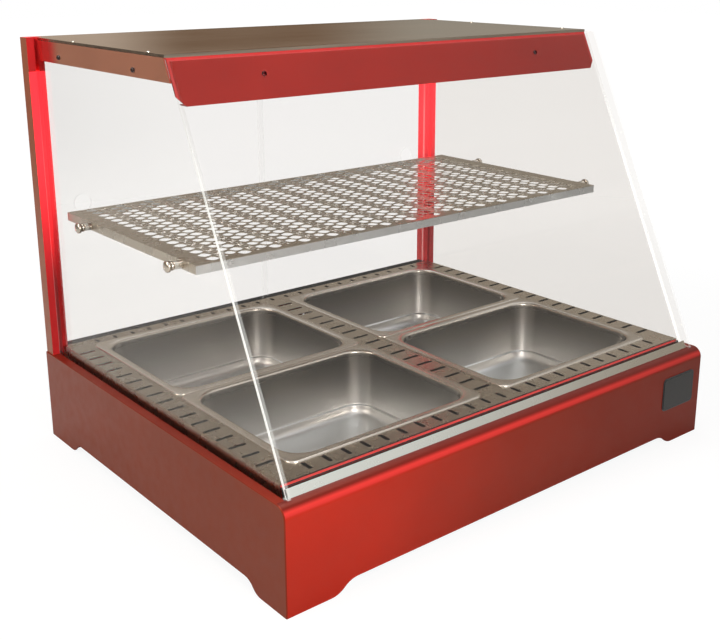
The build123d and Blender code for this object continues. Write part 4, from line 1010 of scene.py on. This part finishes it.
def tube(path, radius, sides):
    """Points and faces of a thin tube along points in mm, closed and narrower at its ends."""
    points = []
    for i, at in enumerate(path):
        before = Vector(path[max(i - 1, 0)])
        after = Vector(path[min(i + 1, len(path) - 1)])
        way = (after - before).normalized()
        across = way.cross(Vector((0, 0, 1))).normalized()
        upward = across.cross(way)
        end = STRAND_END if i in (0, len(path) - 1) else 1.0
        for k in range(sides):
            angle = 2 * math.pi * k / sides
            offset = (across * math.cos(angle) + upward * math.sin(angle)) * radius * end
            points.append(place(*(Vector(at) + offset)))
    return points, skin(len(path), sides)


def strand(x, y, side, top):
    """A raised strand that snakes from a wide opening's end to the next narrow one's."""
    return tube([(x + u, y + side * v, top - STRAND_SINK) for u, v in STRAND_PATH],
                STRAND_RADIUS, STRAND_SIDES)


def add_shelf():
    half, front, rear, bottom, top = extent("mesh_shelf")
    outline = [(-half, front), (half, front), (half, rear), (-half, rear)]
    sheet = pierced_sheet("shelf_sheet", outline, shelf_holes(), top, SHELF_SHEET)
    shelf = add_piece("pierced_shelf", sheet, SHELF_STEEL, "case")
    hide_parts("mesh_shelf")
    t = SHELF_SHEET
    for name, near in (("shelf_front_flange", front), ("shelf_rear_flange", rear - t)):
        lip = joined(name, [block(-half, half, near, near + t, bottom, top - t)])
        add_piece(name, lip, FLANGE_LIT_STEEL, "case")
    walls = [block(-half, -half + t, front + t, rear - t, bottom, top - t),
             block(half - t, half, front + t, rear - t, bottom, top - t)]
    add_piece("shelf_flanges", joined("shelf_flanges", walls), SHELF_STEEL, "case")
    strands = []
    for wide, _ in column_places():
        for j in range(WIDE_ROWS - 1):
            y = FIRST_ROW + j * ROW_PITCH
            strands.append(strand(wide, y, 1, top))
            strands.append(strand(wide, y + ROW_PITCH, -1, top))
    add_piece("shelf_strands", joined("shelf_strands", strands), STRAND_STEEL, "case",
              SMOOTH_STRAND)


# Deck and pans

def deck_slots(half, pan_front, pan_rear, front_row, rear_row):
    holes = []
    middle = (pan_front + pan_rear) / 2
    for i in range(SIDE_SLOTS):
        y = middle + (i - (SIDE_SLOTS - 1) / 2) * SLOT_PITCH
        for side in (-1, 1):
            holes.append(slot_outline(side * (half - SLOT_INSET), y, SIDE_SLOT, SLOT_WIDTH,
                                      along_x=True))
        holes.append(slot_outline(0, y, CENTRE_SLOT, SLOT_WIDTH, along_x=True))
    for i in range(ROW_SLOTS):
        x = (i - (ROW_SLOTS - 1) / 2) * SLOT_PITCH
        holes.append(slot_outline(x, front_row, FRONT_SLOT, SLOT_WIDTH, along_x=False))
        holes.append(slot_outline(x, rear_row, REAR_SLOT, SLOT_WIDTH, along_x=False))
    return holes


def bent_edge(side, half, front, rear, top, bottom):
    """The deck's side edge: it bends down through a small radius into a skirt."""
    t, r = DECK_SHEET, DECK_BEND
    turns = [math.pi / 2 * i / DECK_BEND_STEPS for i in range(DECK_BEND_STEPS + 1)]
    section = [(half - r + r * math.sin(turn), top - r + r * math.cos(turn)) for turn in turns]
    section += [(half, bottom), (half - t, bottom), (half - t, top - r), (half - r, top - t)]
    points = [place(side * x, y, z) for y in (front, rear) for x, z in section]
    faces = skin(2, len(section))
    return points, [face[::-1] for face in faces] if side > 0 else faces


def add_deck():
    half, front, rear, bottom, top = extent("deck")
    _, pan_front, _, _, _ = extent("pan_front_left")
    _, _, pan_rear, _, _ = extent("pan_rear_left")
    front_row = (front + pan_front) / 2 + FRONT_ROW_SHIFT
    holes = deck_slots(half, pan_front, pan_rear, front_row, (rear + pan_rear) / 2)
    for name in PANS:
        (x, y), (half_x, half_y) = footprint(name)
        ring = rounded_box(half_x - PAN_HOLE_INSET, half_y - PAN_HOLE_INSET, PAN_HOLE_CORNER,
                           PAN_HOLE_SEGMENTS)
        holes.append([(x + u, y + v) for u, v in ring])
    t, r = DECK_SHEET, DECK_BEND
    outline = [(-half + r, front), (half - r, front), (half - r, rear - r), (-half + r, rear - r)]
    sheet = pierced_sheet("deck_sheet", outline, holes, top, t)
    deck = add_piece("slotted_deck", sheet, DECK_STEEL, "case")
    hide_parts("deck")
    skirts = [bent_edge(side, half, front, rear - r, top, bottom) for side in (-1, 1)]
    skirts.append(block(-half + r, half - r, front, front + t, top - t - DECK_FRONT_LIP, top - t))
    skirts.append(block(-half + r, half - r, rear - r, rear, top - t - DECK_REAR_LIP,
                        top - DECK_REAR_GAP))
    add_piece("deck_skirts", joined("deck_skirts", skirts), DECK_STEEL, "case",
              SMOOTH_BENT)


def pan_mesh(name, node_name):
    """A deep-drawn pan: rolled rim, tapered wall, stacking step, and a soft corner at its floor."""
    middle, half = footprint(node_name)
    _, _, _, _, rim = extent(node_name)
    inside = [(inset, corner, rim - drop) for inset, corner, drop in PAN_PROFILE]
    t = PAN_SHEET
    outside = []
    for inset, corner, drop in reversed(PAN_PROFILE):
        if drop > RIM_DEPTH:
            outside.append((inset - t, corner, rim - drop - t * (inset > FLOOR_INSET)))
        elif inset >= t:
            outside.append((max(inset - t, t) if inset > RIM_WIDTH else inset, corner,
                            rim - drop - t))
    outside.append((t, PAN_PROFILE[0][1], inside[0][2]))
    rings = inside + outside
    points = []
    for inset, corner, z in rings:
        ring = rounded_box(half[0] - inset, half[1] - inset, corner, PAN_SEGMENTS)
        points += [place(middle[0] + x, middle[1] + y, z) for x, y in ring]
    count = 4 * (PAN_SEGMENTS + 1)
    floor = len(inside) - 1
    faces = [face for j in range(len(rings)) if j != floor
             for face in band(j, (j + 1) % len(rings), count)]
    faces += [cap(floor, count), cap(floor + 1, count)[::-1]]
    return mesh_of(name, points, [face[::-1] for face in faces])


def add_pans():
    for name in PANS:
        mesh = pan_mesh(name + "_drawn", name)
        pan = add_piece(name + "_drawn", mesh, PAN_STEEL, name, SMOOTH_DRAWN)
        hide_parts(name)


# Lining, pins, screws and the bare plate

def up_the_pane(x, rise, depth):
    """A point by its way up the leaning pane and its depth behind the pane's front, in mm."""
    lean = math.radians(LEAN)
    return place(x, GLASS_FOOT_Y + rise * math.sin(lean) + depth * math.cos(lean),
                 BASE_TOP + rise * math.cos(lean) - depth * math.sin(lean))


def add_lining():
    """The black lining, its rear leaf a little taller than the channel's rear leg."""
    half, _, _, _, _ = extent("glass_channel")
    bottom, seat = LINING_FLOOR
    leaves = ((bottom, seat, -LINING_FRONT, GLASS_SHEET + LINING_BACK),
              (seat, LINING_TOPS[0], -LINING_FRONT, 0.0),
              (seat, LINING_TOPS[1], GLASS_SHEET, GLASS_SHEET + LINING_BACK))
    _, faces = block(0, 1, 0, 1, 0, 1)
    parts = []
    for low_rise, high_rise, near, far in leaves:
        points = [up_the_pane(x, rise, depth) for rise in (low_rise, high_rise)
                  for x, depth in ((-half, near), (half, near), (half, far), (-half, far))]
        parts.append((points, faces))
    made = add_piece("pane_lining", joined("pane_lining", parts), BLACK, "case")
    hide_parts("front_gasket")


def add_turned(name, parts, material):
    return add_piece(name, joined(name, parts), material, "case", SMOOTH_TURNED)


def add_pins():
    half, _, _, _, top = extent("mesh_shelf")
    pins = []
    washers = []
    for side in (-1, 1):
        for y in PIN_Y:
            origin = place(side * half, y, top - PIN_DROP)
            pins.append(turned(PIN_PROFILE, origin, (side, 0, 0), PIN_SIDES))
            washers.append(turned_ring(WASHER_PROFILE, origin, (side, 0, 0), PIN_SIDES))
    made = add_turned("turned_pins", pins, BRIGHT_STEEL)
    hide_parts("shelf_pins")
    made = add_turned("turned_rings", washers, BRIGHT_STEEL)
    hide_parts("pin_washers")


def add_screws():
    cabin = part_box("side_glass_right")[0].x / MM
    rails = [turned(SCREW_PROFILE, place(side * cabin, y, RAIL_SCREW_Z), (side, 0, 0),
                    SCREW_SIDES) for side in (-1, 1) for y in RAIL_SCREW_Y]
    made = add_turned("rail_socket_screws", rails, DARK_STEEL)
    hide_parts("rail_screws")
    rise = (FASCIA_SCREW_Z - BASE_TOP) / math.cos(math.radians(LEAN))
    front = [turned(SCREW_PROFILE, up_the_pane(x, rise, GLASS_SHEET), PANE_SLOPE, SCREW_SIDES)
             for x in (-FASCIA_SCREW_X, FASCIA_SCREW_X)]
    made = add_turned("fascia_socket_screws", front, RED_GLINT_SCREWS)
    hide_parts("fascia_screws")
    half, _, _, _, top = extent("roof_panel")
    buttons = [turned(BUTTON_PROFILE, place(side * (half - BUTTON_INSET), y, top), (0, 0, 1),
                      BUTTON_SIDES) for side in (-1, 1) for y in BUTTON_Y]
    add_turned("roof_buttons", buttons, BRIGHT_STEEL)


def plate_mesh(name, inset, depths):
    """A plate with round corners and a slightly raised edge on the base's front."""
    front, back = depths
    x, z = (sum(ends) / 2 for ends in (PLATE_X, PLATE_Z))
    half_x, half_z = ((ends[1] - ends[0]) / 2 - inset for ends in (PLATE_X, PLATE_Z))
    points = []
    for edge, depth in ((0, back), (0, front + PLATE_EDGE), (PLATE_EDGE, front)):
        ring = rounded_box(half_x - edge, half_z - edge, PLATE_CORNER - inset - edge,
                           PLATE_SEGMENTS)
        points += [place(x + u, -depth, z + v) for u, v in ring]
    count = 4 * (PLATE_SEGMENTS + 1)
    faces = [(a, d, c, b) for j in (0, 1) for a, b, c, d in band(j, j + 1, count)]
    return mesh_of(name, points, faces + [cap(0, count), cap(2, count)[::-1]])


def add_plate():
    rim = plate_mesh("plate_rim", 0.0, PLATE_RIM_DEPTHS)
    add_piece("plate_rim", rim, PLATE_RIM, "case", SMOOTH_BENT)
    face = plate_mesh("plate_face", PLATE_RIM_WIDTH, PLATE_FACE_DEPTHS)
    add_piece("plate_face", face, PLATE_FACE, "case", SMOOTH_BENT)


add_camera()
add_world()
add_floor()
add_lamps()
finish_nodes()
add_bands()
add_shelf()
add_deck()
add_pans()
add_lining()
add_pins()
add_screws()
add_plate()

bpy.context.scene.view_settings.view_transform = "Standard"
